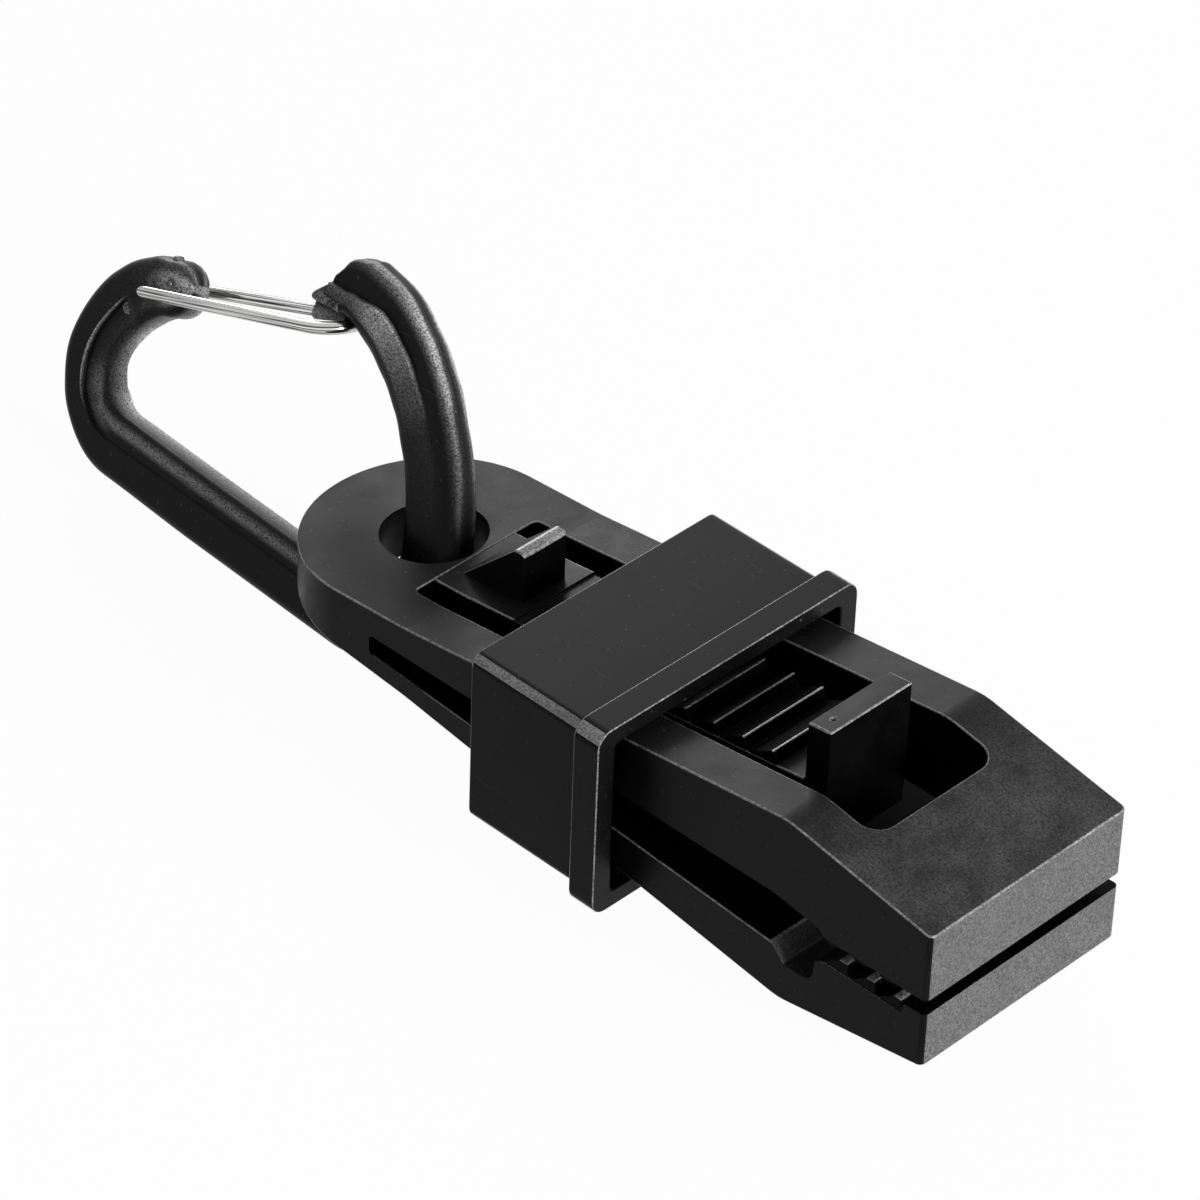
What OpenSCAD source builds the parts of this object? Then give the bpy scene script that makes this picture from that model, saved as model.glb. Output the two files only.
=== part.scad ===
// Awning clamp with a sliding lock collar and a wire-gate carabiner.
// X points from the eye to the jaws, Y across the clamp, Z up; the eye's centre is the origin.

/* [Clamp body] */
// Width of the arms and of the round eye end
body_w = 30; // [26:0.5:36]
// Thickness of the body at the back of the eye end
eye_end_t = 5.3; // [4.5:0.1:7]
// Bevel round both rims of the eye
eye_rim = 0.6; // [0.3:0.1:0.8]
// Distance from the eye to the crease where the arms start to spread
crease_x = 11; // [10:0.5:14]
// Thickness of the body at the crease
crease_t = 9.3; // [8.5:0.1:10.5]
// Distance from the eye to the kink where the jaws start to taper
kink_x = 67; // [66:0.5:69]
// Thickness over both arms at the kink
kink_t = 24; // [23:0.1:26]
// Distance from the eye to the blunt jaw tips
tip_x = 87; // [86:0.5:92]
// Thickness over both jaws at the tips
tip_t = 17.3; // [16:0.1:19]
// Height of the plane where the two jaws meet
parting_z = -0.75; // [-1:0.05:-0.5]
// Free gap between the jaw tips
mouth_gap = 1.9; // [1.8:0.05:2.6]

/* [Gap between the arms] */
// Width of the slot where the arms part
slot_w = 2.8; // [2.4:0.1:3]
// Distance from the eye to the round end of the slot
slot_x = 5.4; // [5:0.1:6]
// Rise of the upper arm's inner face from the slot to the jaws
upper_rise = 0.8; // [0:0.1:1.5]
// Fall of the lower arm's inner face from the slot to the jaws
lower_fall = 3; // [2:0.1:3.5]

/* [Jaw teeth] */
// Number of teeth on each jaw
jaw_teeth = 3; // [2:1:3]
// Length of one tooth
jaw_pitch = 3.75; // [3.2:0.05:3.9]
// Height of the lower jaw's teeth
lower_tooth_h = 1.6; // [1:0.1:1.8]
// Height of the upper jaw's teeth
upper_tooth_h = 0.7; // [0.4:0.1:0.8]
// Length of the flat lip in front of the teeth
lip_l = 2.95; // [2.5:0.05:3.5]
// Radius of the cross groove behind the lower teeth
groove_r = 2.5; // [2:0.1:2.8]

/* [Window and latch tongue] */
// Width of the window in the upper arm
window_w = 18.2; // [17:0.1:20]
// Distance from the eye to the front of the window
window_x = 73.7; // [73:0.1:75]
// Radius of the window's front corners
window_r = 2.6; // [1.5:0.1:4]
// Width of the spring tongue
tongue_w = 12.4; // [11:0.1:13]
// Thickness of the tongue under its teeth
tongue_t = 2.5; // [2:0.1:3]
// Distance from the wedge to where the tongue has that thickness
heel_l = 3; // [2:0.1:4]
// Length of one ratchet tooth
ratchet_pitch = 4.2; // [3.8:0.1:4.3]
// Height of a ratchet tooth
ratchet_h = 1.5; // [1:0.1:1.7]
// Depth of the ratchet's crests under the upper arm's top
crest_drop = 1; // [0.8:0.1:1.4]
// Number of ratchet teeth
ratchet_n = 7; // [5:1:7]
// Width of the wedge that stops the collar
wedge_w = 6.5; // [5:0.1:8]
// Distance from the eye to the front face of the wedge
wedge_x = 17; // [16.5:0.1:17.4]
// Height of the wedge over the upper arm
wedge_h = 6.4; // [5.5:0.1:7]
// Length of the flat between the ratchet and the release block
ledge_l = 3.95; // [3:0.05:4.5]
// Distance from the ratchet to the front of the window
well_l = 16.45; // [15.5:0.05:17]
// Length of the release block
block_l = 3.2; // [2.6:0.1:4]
// Height of the release block over the upper arm
block_h = 5; // [4:0.1:6]

/* [Lock collar] */
// Distance from the eye to the back of the collar
collar_x = 25.1; // [25:0.1:26]
// Length of the collar
collar_l = 19.5; // [18:0.1:19.6]
// Wall at the collar's sides
collar_side_wall = 1.5; // [1.2:0.05:2]
// Wall at the collar's top and bottom
collar_flat_wall = 1.05; // [0.9:0.05:1.4]
// Free space on each side of the arms
collar_side_play = 2.1; // [1:0.1:3]
// Length of the rim round the collar's front
rim_l = 3.7; // [2.5:0.1:5]
// Height of the rim over the collar's walls
rim_h = 1.15; // [0.8:0.05:1.5]
// Radius of the collar's long edges
collar_r = 1.4; // [1:0.1:2]
// Travel of the collar from the photographed place to the locked place
lock_travel = 7; // [5:0.5:7]

/* [Carabiner] */
// Length of the carabiner
carabiner_l = 64; // [62:0.5:67]
// Depth of the moulded section in the plane of the loop
stem_w = 6.4; // [6:0.1:6.8]
// Thickness of the moulded section
stem_t = 5; // [4.6:0.1:5.3]
// Radius of the section's edges
stem_r = 1.8; // [1.4:0.1:2]
// Width of the recess along each side of the section
recess_w = 2.6; // [2:0.1:2.8]
// Depth of the recess along each side of the section
recess_d = 0.8; // [0.4:0.1:1.2]
// Middle radius of the long hook arm
hook_r = 31.5; // [30:0.5:33]
// Distance from the eye's centre to the middle of the hook in the eye
eye_reach = 3.3; // [3:0.1:3.6]
// Middle radius of the bend that goes through the eye
eye_bend_r = 8.8; // [8.4:0.1:9.2]
// Middle radius of the bend at the gate end
gate_bend_r = 8.4; // [8:0.1:9]
// Middle radius of the arm that carries the gate
gate_arm_r = 12; // [11.5:0.1:13]
// Free space between the eye and the corners of the section
eye_play = 2.05; // [1.9:0.05:2.4]
// Lean of the carabiner away from upright
lean = 29; // [27:0.5:30]
// Turn of the carabiner in the eye
swing = -3; // [-10:0.5:10]

/* [Wire gate] */
// Diameter of the gate's wire
wire_d = 1.5; // [1.2:0.1:1.6]
// Length of the gate from its pivot to its nose
gate_l = 30; // [29.5:0.1:30.5]
// Depth of each pivot hole in the carabiner
pivot_depth = 1.9; // [1.5:0.1:2]
// Distance from the gate's nose to the end of the hook
nose_reach = 2.34; // [2:0.02:2.6]
// Length of the keeper between the gate's legs
keeper_l = 3; // [2.5:0.1:3.5]
// Thickness of the keeper
keeper_t = 2.2; // [1.8:0.1:3]

/* [Hidden] */
$fn = 72;

// Clearances
flex_gap = 0.1;
collar_play = 0.27;
pivot_play = 0.05;
pin_play = 0.2;
leg_play = 0.15;
pawl_play = 0.25;
wire_play = 0.7;
keeper_play = 0.8;

// Overlaps of shapes that are joined, and of cuts that go right through
sink = 0.4;
through = 1;
bend_grow = 0.05;
lap = 0.4;

// Eye end
eye_r = body_w / 2;
stem_diagonal = sqrt(stem_w * stem_w + stem_t * stem_t);
eye_hole_d = stem_diagonal + 2 * eye_play;
eye_slope = atan((crease_t - eye_end_t) / 2 / (crease_x + eye_r));

// Arms: half the body's thickness at a place along X
function spread(x) =
    x < crease_x
    ? (eye_end_t + (crease_t - eye_end_t) * (x + eye_r) / (crease_x + eye_r)) / 2
    : (crease_t + (kink_t - crease_t) * (x - crease_x) / (kink_x - crease_x)) / 2;

// Gap between the arms, which ends at the groove behind the jaw teeth
slot_r = slot_w / 2;
slot_c = slot_x + slot_r;
root_l = 1.2;
flex_x = slot_c + root_l;
teeth_end_x = tip_x - lip_l;
teeth_x = teeth_end_x - jaw_teeth * jaw_pitch;
land_l = 0.9;
groove_x = teeth_x - groove_r - land_l;
facet_l = 1.3;
gap_end_x = groove_x - groove_r - facet_l;
function upper_in(x) = parting_z + slot_r + upper_rise * (x - slot_c) / (gap_end_x - slot_c);
function lower_in(x) = parting_z - slot_r - lower_fall * (x - slot_c) / (gap_end_x - slot_c);

// Flex places of the two arms, each with a round bead on its axis
upper_axis_z = (spread(flex_x) + upper_in(flex_x)) / 2;
lower_axis_z = (lower_in(flex_x) - spread(flex_x)) / 2;
upper_bead_r = 0.35 * (spread(flex_x) - upper_in(flex_x));
lower_bead_r = 0.35 * (lower_in(flex_x) + spread(flex_x));
jaw_close = 0.5;

// Heights of the jaw teeth and of the groove
tooth_run = 0.9;
upper_tip_z = parting_z + mouth_gap / 2;
lower_tip_z = parting_z - mouth_gap / 2;
upper_lip_h = 0.25;
lower_lip_h = 0.2;
upper_root_z = upper_tip_z - upper_lip_h;
lower_root_z = lower_tip_z - lower_tooth_h;
upper_step_h = 0.8;
groove_drop = 1.3;
facet_h = 1;

// Window and tongue
eye_web = 0.4;
window_back = eye_hole_d / 2 + eye_web;
tongue_setback = 0.6;
tongue_x = window_back + tongue_setback;
tongue_drop = 0.35;
root_drop = crest_drop + ratchet_h;
rack_end_x = window_x - well_l;
rack_x = rack_end_x - ratchet_n * ratchet_pitch;
ratchet_run = 0.86;
block_x = rack_end_x + ledge_l;
block_drop = 0.4;
block_z = upper_in(block_x) - block_drop;
tongue_axis_z = (spread(tongue_x) - tongue_drop + upper_in(tongue_x)) / 2;
tongue_bead_r = 0.5;
foot_setback = 0.4;
wedge_foot = tongue_x + foot_setback;
wedge_r = 0.8;

// Collar: its inside clears the arms when they are squeezed at the locked place
collar_front = collar_x + collar_l;
lock_x = collar_front + lock_travel;
squeeze = (lock_x - flex_x) * sin(jaw_close);
collar_drop = 0.2;
collar_in_h = 2 * (spread(lock_x) - squeeze + collar_play + collar_drop);
collar_in_w = body_w + 2 * collar_side_play;
collar_h = collar_in_h + 2 * collar_flat_wall;
collar_w = collar_in_w + 2 * collar_side_wall;
pawl_l = 1.6;
pawl_x = collar_front - rim_l;
pawl_w = tongue_w - 1;
pawl_z = spread(pawl_x + pawl_l + lock_travel) - crest_drop + pawl_play;
rest_z = -collar_drop - collar_h / 2 - rim_h;

// Carabiner: its spine lies on the surface that the collar's rim lies on
stem_support = (stem_w / 2 - stem_r) * cos(lean) + (stem_t / 2 - stem_r) * sin(lean) + stem_r;
spine_u = (rest_z + stem_support) / cos(lean);
eye_bend_u = spine_u + eye_bend_r;
hook_start = 22;
hook_u = eye_bend_u - (hook_r - eye_bend_r) * sin(hook_start);
hook_s = eye_reach - hook_r;
eye_bend_s = hook_s + (hook_r - eye_bend_r) * cos(hook_start);
gate_end_s = eye_bend_s + eye_bend_r + stem_w / 2 - carabiner_l;
gate_bend_s = gate_end_s + stem_w / 2 + gate_bend_r;
gate_bend_u = spine_u + gate_bend_r;
gate_arm_s = gate_end_s + stem_w / 2 + gate_arm_r;
gate_arm_end = 122;
boss_drop = 0.2;

// Gate: its nose lies under the hook
wire_r = wire_d / 2;
leg_bend_r = 1;
leg_n = stem_t / 2 + leg_bend_r + leg_play;
pivot_a = 135;
pivot_s = gate_arm_s + gate_arm_r * cos(pivot_a);
pivot_u = gate_bend_u + gate_arm_r * sin(pivot_a);
latch_run = 0.95;
latch_s = pivot_s + latch_run * gate_l;
latch_r = hook_r - stem_w / 2 - wire_r - wire_play;
latch_u = hook_u + sqrt(latch_r * latch_r - (latch_s - hook_s) * (latch_s - hook_s));
gate_angle = asin((latch_u - pivot_u) / gate_l);

// Nose of the hook: it ends over the gate, and its keeper ends behind the gate's nose
nose_s = latch_s - nose_reach;
hook_end = acos((nose_s - hook_s) / hook_r);
nose_u = hook_u + hook_r * sin(hook_end);
keeper_s = pivot_s + gate_l * cos(gate_angle) - wire_r - keeper_play - keeper_l;

// Side outline along X and Z, made as wide as w across Y
module across(w) {
    rotate([90, 0, 0])
        linear_extrude(height = w, center = true)
            children();
}

// Rectangle with round corners, centred
module round_rect(w, h, r) {
    square([w - 2 * r, h], center = true);
    square([w, h - 2 * r], center = true);
    for (x = [-1, 1], y = [-1, 1])
        translate([x * (w / 2 - r), y * (h / 2 - r)])
            circle(r);
}

// Plan of the window: square at the back, round at the front corners
module window_plan() {
    half = window_w / 2;
    translate([window_back, -half])
        square([window_x - window_back - window_r, window_w]);
    translate([window_back, window_r - half])
        square([window_x - window_back, window_w - 2 * window_r]);
    for (side = [-1, 1])
        translate([window_x - window_r, side * (half - window_r)])
            circle(window_r);
}

// Plan of the eye end: a half round that runs on into the arms
module eye_plan() {
    circle(eye_r);
    translate([0, -eye_r])
        square([flex_x, body_w]);
}

// Outline of the sockets in which the beads of the arms turn
module flex_sockets() {
    translate([flex_x, upper_axis_z])
        circle(upper_bead_r + flex_gap);
    translate([flex_x, lower_axis_z])
        circle(lower_bead_r + flex_gap);
}

// Eye end with the round end of the slot and the roots of the arms and the tongue
module clamp_tail() {
    slot_half = (window_w - tongue_w) / 4;
    color("#1c1c1e")
    difference() {
        intersection() {
            across(body_w)
                difference() {
                    polygon([
                        [-eye_r, -spread(-eye_r)],
                        [flex_x - flex_gap, -spread(flex_x - flex_gap)],
                        [flex_x - flex_gap, spread(flex_x - flex_gap)],
                        [-eye_r, spread(-eye_r)]
                    ]);
                    translate([slot_c, parting_z])
                        circle(slot_r);
                    translate([slot_c, parting_z - slot_r])
                        square([flex_x, slot_w]);
                    flex_sockets();
                }
            linear_extrude(height = kink_t, center = true)
                eye_plan();
        }
        cylinder(h = kink_t, d = eye_hole_d, center = true);
        for (side = [0, 1])
            mirror([0, 0, side])
                rotate([0, -eye_slope, 0])
                    translate([0, 0, spread(0) - eye_rim])
                        cylinder(h = 2 * eye_rim, r1 = eye_hole_d / 2, r2 = eye_hole_d / 2 + 2 * eye_rim);
        for (side = [-1, 1])
            translate([0, side * (tongue_w / 2 + slot_half), parting_z])
                linear_extrude(height = kink_t) {
                    translate([window_back + slot_half, 0])
                        circle(slot_half);
                    translate([window_back + slot_half, -slot_half])
                        square([flex_x, 2 * slot_half]);
                }
        translate([tongue_x - 2 * flex_gap, -tongue_w / 2 - 2 * flex_gap, parting_z])
            cube([flex_x, tongue_w + 4 * flex_gap, kink_t]);
        translate([window_back, -tongue_w / 2, spread(window_back) - tongue_drop])
            cube([flex_x, tongue_w, kink_t]);
        translate([tongue_x, 0, tongue_axis_z])
            rotate([90, 0, 0])
                cylinder(h = tongue_w + 4 * flex_gap, r = tongue_bead_r + flex_gap, center = true);
    }
}

// Sawtooth points along a jaw, rising forward and falling steeply
function saw(x0, root_z, h) = [
    for (i = [0 : jaw_teeth - 1], k = [0, tooth_run])
        [x0 + (i + k) * jaw_pitch, root_z + (k > 0 ? h : 0)]
];

// Upper arm and jaw: two rails beside the window and the toothed jaw in front
module upper_jaw() {
    color("#1c1c1e")
    difference() {
        union() {
            across(body_w) polygon(concat(
                [
                    [flex_x, upper_in(flex_x)],
                    [flex_x, spread(flex_x)],
                    [crease_x, spread(crease_x)],
                    [kink_x, kink_t / 2],
                    [tip_x, tip_t / 2],
                    [tip_x, upper_tip_z]
                ],
                [
                    for (p = saw(-teeth_end_x, 0, upper_tooth_h))
                        [-p[0], upper_root_z - p[1]]
                ],
                [[teeth_x - land_l, upper_in(gap_end_x) - upper_step_h], [gap_end_x, upper_in(gap_end_x)]]
            ));
            across(body_w)
                translate([flex_x, upper_axis_z])
                    circle(upper_bead_r);
        }
        translate([0, 0, parting_z - slot_w])
            linear_extrude(height = kink_t)
                window_plan();
    }
}

// Lower arm and jaw with the cross groove behind its teeth
module lower_jaw() {
    color("#1c1c1e") {
        across(body_w) difference() {
            polygon(concat(
                [
                    [flex_x, lower_in(flex_x)],
                    [gap_end_x, lower_in(gap_end_x)],
                    [groove_x - groove_r, lower_in(gap_end_x) - facet_h],
                    [groove_x, lower_in(gap_end_x)]
                ],
                saw(teeth_x, lower_root_z, lower_tooth_h),
                [
                    [teeth_end_x, lower_tip_z - lower_lip_h],
                    [tip_x, lower_tip_z],
                    [tip_x, -tip_t / 2],
                    [kink_x, -kink_t / 2],
                    [crease_x, -spread(crease_x)],
                    [flex_x, -spread(flex_x)]
                ]
            ));
            translate([groove_x, lower_root_z - groove_drop])
                circle(groove_r);
        }
        across(body_w)
            translate([flex_x, lower_axis_z])
                circle(lower_bead_r);
    }
}

// Wedge outline: a ramp that ends in a round crest over a steep front
module wedge_outline() {
    foot_z = spread(wedge_foot) - tongue_drop - sink;
    crest = [wedge_x - wedge_r, spread(wedge_x) + wedge_h - wedge_r];
    run = [crest[0] - wedge_foot, crest[1] - foot_z];
    ramp = atan2(run[1], run[0]) + asin(wedge_r / norm(run));
    translate(crest)
        circle(wedge_r);
    polygon([
        [wedge_foot, foot_z],
        crest + wedge_r * [-sin(ramp), cos(ramp)],
        crest,
        [wedge_x, crest[1]],
        [wedge_x, spread(wedge_x) - root_drop - sink]
    ]);
}

// Spring tongue with the ratchet, the wedge that stops the collar and the release block
module latch_tongue() {
    rack = [
        for (i = [0 : ratchet_n - 1], k = [0, ratchet_run])
            let (x = rack_x + (i + k) * ratchet_pitch)
                [x, spread(x) - root_drop + (k > 0 ? ratchet_h : 0)]
    ];
    under_x = wedge_x + heel_l;
    color("#1c1c1e") {
        across(tongue_w)
            polygon(concat(
                [
                    [tongue_x, upper_in(tongue_x)],
                    [tongue_x, spread(tongue_x) - tongue_drop],
                    [crease_x, spread(crease_x) - tongue_drop],
                    [wedge_x, spread(wedge_x) - tongue_drop],
                    [wedge_x, spread(wedge_x) - root_drop]
                ],
                rack,
                [
                    [rack_end_x, spread(rack_end_x) - root_drop],
                    [block_x, spread(block_x) - root_drop],
                    [block_x, spread(block_x) + block_h],
                    [block_x + block_l, spread(block_x + block_l) + block_h],
                    [block_x + block_l, block_z],
                    [block_x, block_z],
                    [block_x, spread(block_x) - root_drop - tongue_t],
                    [under_x, spread(under_x) - root_drop - tongue_t]
                ]
            ));
        across(tongue_w)
            translate([tongue_x, tongue_axis_z])
                circle(tongue_bead_r);
        across(wedge_w)
            wedge_outline();
    }
}

// Outline across the collar, grown by some amount on every side
module collar_outline(grow) {
    round_rect(collar_w + 2 * grow, collar_h + 2 * grow, collar_r);
}

// Sleeve that slides over the arms, with its rim and the pawl that meets the ratchet
module lock_collar() {
    pawl_top = collar_in_h / 2 - collar_drop;
    color("#202022") {
        translate([0, 0, -collar_drop])
            rotate([90, 0, 90])
                difference() {
                    union() {
                        translate([0, 0, collar_x])
                            linear_extrude(height = collar_l)
                                collar_outline(0);
                        translate([0, 0, collar_front - rim_l])
                            linear_extrude(height = rim_l)
                                collar_outline(rim_h);
                    }
                    translate([0, 0, collar_x - through])
                        linear_extrude(height = collar_l + 2 * through)
                            round_rect(collar_in_w, collar_in_h, collar_r / 2);
                }
        across(pawl_w)
            polygon([
                [pawl_x, pawl_top + collar_flat_wall / 2],
                [pawl_x, pawl_z],
                [pawl_x + pawl_l / 2, pawl_z],
                [pawl_x + 1.5 * pawl_l, pawl_top],
                [pawl_x + 1.5 * pawl_l, pawl_top + collar_flat_wall / 2]
            ]);
    }
}

// Section of the carabiner: round edges and a recess along both sides
module stem_section(grow = 0) {
    difference() {
        round_rect(stem_w + 2 * grow, stem_t + 2 * grow, stem_r + grow);
        for (side = [-1, 1])
            translate([0, side * (stem_t / 2 + grow)])
                square([recess_w - 2 * grow, 2 * recess_d], center = true);
    }
}

// Bend of the section about a centre, a little fuller than the runs that end in it
module stem_bend(centre, r, from, to) {
    translate(centre)
        rotate([0, 0, from])
            rotate_extrude(angle = to - from)
                translate([r, 0])
                    stem_section(bend_grow);
}

// Curved run of the section, lapped into the bends at both ends
module stem_run(centre, r, from, to) {
    more = lap / r * 180 / PI;
    translate(centre)
        rotate([0, 0, from - more])
            rotate_extrude(angle = to - from + 2 * more)
                translate([r, 0])
                    stem_section();
}

// Round end of the section, turned about a point
module stem_end(at, from) {
    translate(at)
        rotate([0, 0, from])
            rotate_extrude(angle = 180)
                intersection() {
                    stem_section(bend_grow);
                    translate([0, -stem_t])
                        square([stem_w, 2 * stem_t]);
                }
}

// Place of the carabiner and its gate in the eye
module in_eye() {
    rotate([0, 0, swing])
        rotate([90 - lean, 0, 0])
            children();
}

// Moulded carabiner: spine, bend through the eye, hook and the arm that carries the gate
module carabiner_body() {
    arm_end = [
        gate_arm_s + gate_arm_r * cos(gate_arm_end),
        gate_bend_u + gate_arm_r * sin(gate_arm_end)
    ];
    color("#18181a")
    in_eye()
    difference() {
        union() {
            translate([gate_bend_s - lap, spine_u, 0])
                rotate([90, 0, 90])
                    linear_extrude(height = eye_bend_s - gate_bend_s + 2 * lap)
                        stem_section();
            stem_bend([gate_bend_s, gate_bend_u], gate_bend_r, 180, 270);
            stem_run([gate_arm_s, gate_bend_u], gate_arm_r, gate_arm_end, 180);
            stem_end(arm_end, gate_arm_end - 180);
            stem_bend([eye_bend_s, eye_bend_u], eye_bend_r, -90, hook_start);
            stem_run([hook_s, hook_u], hook_r, hook_start, hook_end);
            stem_end([nose_s, nose_u], hook_end);
            translate([keeper_s, latch_u - wire_r, -keeper_t / 2])
                cube([keeper_l, nose_u - latch_u, keeper_t]);
            translate([pivot_s, pivot_u, 0])
                cylinder(h = stem_t - 2 * boss_drop, r = recess_w / 2, center = true);
        }
        for (side = [-1, 1])
            translate([pivot_s, pivot_u, side * (stem_t / 2 - pivot_depth / 2)])
                cylinder(h = pivot_depth, r = wire_r + pivot_play, center = true);
    }
}

// One leg of the gate: pivot pin, bend and straight run
module gate_leg() {
    pin_in = stem_t / 2 - pivot_depth + pin_play;
    translate([0, 0, pin_in])
        cylinder(h = leg_n - leg_bend_r - pin_in, r = wire_r);
    translate([leg_bend_r, 0, leg_n - leg_bend_r])
        rotate([90, 0, 0])
            rotate([0, 0, 90])
                rotate_extrude(angle = 90)
                    translate([leg_bend_r, 0])
                        circle(wire_r);
    translate([leg_bend_r, 0, leg_n])
        rotate([0, 90, 0])
            cylinder(h = gate_l - leg_n - leg_bend_r, r = wire_r);
}

// Sprung wire hairpin, pivoted in the carabiner's two side holes
module gate_wire() {
    color("#b9bcc0")
    in_eye()
    translate([pivot_s, pivot_u, 0])
    rotate([0, 0, gate_angle]) {
        gate_leg();
        mirror([0, 0, 1])
            gate_leg();
        translate([gate_l - leg_n, 0, 0])
            rotate([90, 0, 0])
                rotate([0, 0, -90])
                    rotate_extrude(angle = 180)
                        translate([leg_n, 0])
                            circle(wire_r);
    }
}

clamp_tail();
upper_jaw();
lower_jaw();
latch_tongue();
lock_collar();
carabiner_body();
gate_wire();
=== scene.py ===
"""Looks of an awning clamp with a sliding lock collar and a wire-gate carabiner.

Lengths are in millimetres until a piece is set in the frame, which is in metres. X points from the eye to the
jaws, Y across the clamp and Z up, and the eye's centre is the origin.
"""
import logging
import math
from collections.abc import Callable, Iterable, Sequence
from dataclasses import astuple, dataclass
from enum import Enum
from typing import ClassVar

import bmesh
import bpy
from mathutils import Matrix, Vector


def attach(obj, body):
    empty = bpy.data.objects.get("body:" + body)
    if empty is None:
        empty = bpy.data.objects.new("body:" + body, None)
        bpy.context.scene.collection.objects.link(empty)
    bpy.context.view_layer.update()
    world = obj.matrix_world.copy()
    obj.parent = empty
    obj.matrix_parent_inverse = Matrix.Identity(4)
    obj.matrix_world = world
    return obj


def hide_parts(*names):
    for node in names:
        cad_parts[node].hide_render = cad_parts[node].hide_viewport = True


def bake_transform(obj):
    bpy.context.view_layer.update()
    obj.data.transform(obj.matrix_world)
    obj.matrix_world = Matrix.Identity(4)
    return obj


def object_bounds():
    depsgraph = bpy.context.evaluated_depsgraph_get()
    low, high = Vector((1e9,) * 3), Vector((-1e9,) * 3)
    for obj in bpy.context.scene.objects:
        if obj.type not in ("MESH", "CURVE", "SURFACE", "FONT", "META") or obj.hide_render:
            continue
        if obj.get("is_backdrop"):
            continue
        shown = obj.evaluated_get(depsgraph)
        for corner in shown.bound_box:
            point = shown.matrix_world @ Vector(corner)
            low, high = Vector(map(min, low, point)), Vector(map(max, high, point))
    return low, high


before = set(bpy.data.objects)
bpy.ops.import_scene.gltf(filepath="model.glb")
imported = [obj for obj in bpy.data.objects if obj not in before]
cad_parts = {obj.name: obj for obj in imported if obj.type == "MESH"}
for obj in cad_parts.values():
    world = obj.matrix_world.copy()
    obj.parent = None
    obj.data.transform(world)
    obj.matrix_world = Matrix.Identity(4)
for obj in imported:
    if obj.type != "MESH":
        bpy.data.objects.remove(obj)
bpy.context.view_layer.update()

LOG = logging.getLogger("awning_clamp")
MM = 0.001

Point = tuple[float, float]
Mesh = bmesh.types.BMesh
Socket = bpy.types.NodeSocket
Material = bpy.types.Material
Feeds = dict[str | int, object]


class Body(Enum):
    """Bodies of the frame that the pieces ride on."""

    TAIL = "tail"
    UPPER_ARM = "upper_arm"
    LOWER_ARM = "lower_arm"
    TONGUE = "tongue"
    COLLAR = "collar"
    CARABINER = "carabiner"
    GATE = "gate"


class Slot(Enum):
    """Material slots of the record."""

    CLAMP = "clamp_nylon"
    COLLAR = "collar_nylon"
    CARABINER = "carabiner_nylon"
    GATE = "gate_steel"


class Axis(Enum):
    """Direction in which an outline is drawn out into a solid."""

    ACROSS = "Y"
    UP = "Z"


class Cut(Enum):
    """Ways in which a tool shape changes a blank."""

    TAKE_AWAY = "DIFFERENCE"
    KEEP_COMMON = "INTERSECT"
    JOIN = "UNION"


class Skin(Enum):
    """Finishes on a moulded piece, in the order of its material slots; some are lighter or darker copies that
    paint highlight and shade.
    """

    SATIN = 0
    # Darker, less reflective copy for sides, undersides and insides: a smoother finish with painted shade.
    POLISHED_SHADED = 1
    GRAINED = 2
    # Much lighter copy for rounded edges and crests that face the lamps: painted highlight.
    EDGE = 3
    # Lighter copy of the grain for the jaw tips and the facet behind the lower teeth: painted highlight on
    # real grain.
    TIP = 4
    # Darkest copy for faces deep between the arms, in the window and on tooth flanks: painted shade.
    SHADED_HOLLOW = 5


def put(name: str, data: bpy.types.ID) -> bpy.types.Object:
    """Puts a new object in the scene.

    Args:
        name: Name of the object.
        data: Its mesh, camera or lamp.

    Returns:
        The object.
    """
    obj = bpy.data.objects.new(name, data)
    bpy.context.scene.collection.objects.link(obj)
    return obj


class Graph:
    """Adds nodes to a node tree and links them."""

    def __init__(self, tree: bpy.types.NodeTree) -> None:
        """Takes the tree that the nodes go into."""
        self.tree = tree

    def feed(self, node: bpy.types.Node, feeds: Feeds) -> None:
        """Links outputs to a node's inputs, or sets these to plain values.

        Args:
            node: The node.
            feeds: What goes into its inputs, by their names or numbers.
        """
        for key, value in feeds.items():
            if isinstance(value, Socket):
                self.tree.links.new(value, node.inputs[key])
            else:
                node.inputs[key].default_value = value

    def add(self, kind: str, feeds: Feeds | None = None, **settings: object) -> bpy.types.Node:
        """Adds a node.

        Args:
            kind: Type name of the node.
            feeds: What goes into its inputs, by their names or numbers.
            settings: Values for the node's own properties.

        Returns:
            The new node.
        """
        node = self.tree.nodes.new(kind)
        for name, value in settings.items():
            setattr(node, name, value)
        self.feed(node, feeds or {})
        return node

    def made(self, kind: str, feeds: Feeds | None = None, **settings: object) -> Socket:
        """Adds a node and gives its first output."""
        return self.add(kind, feeds, **settings).outputs[0]

    def fold(self, operation: str, values: Sequence[Socket], **settings: object) -> Socket:
        """Joins the values of some sockets from the first to the last.

        Args:
            operation: Name of the math operation.
            values: Sockets with the values.
            settings: Values for the math nodes' own properties.

        Returns:
            The socket with the result.
        """
        total = values[0]
        for value in values[1:]:
            total = self.made("ShaderNodeMath", {0: total, 1: value}, operation=operation, **settings)
        return total


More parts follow.
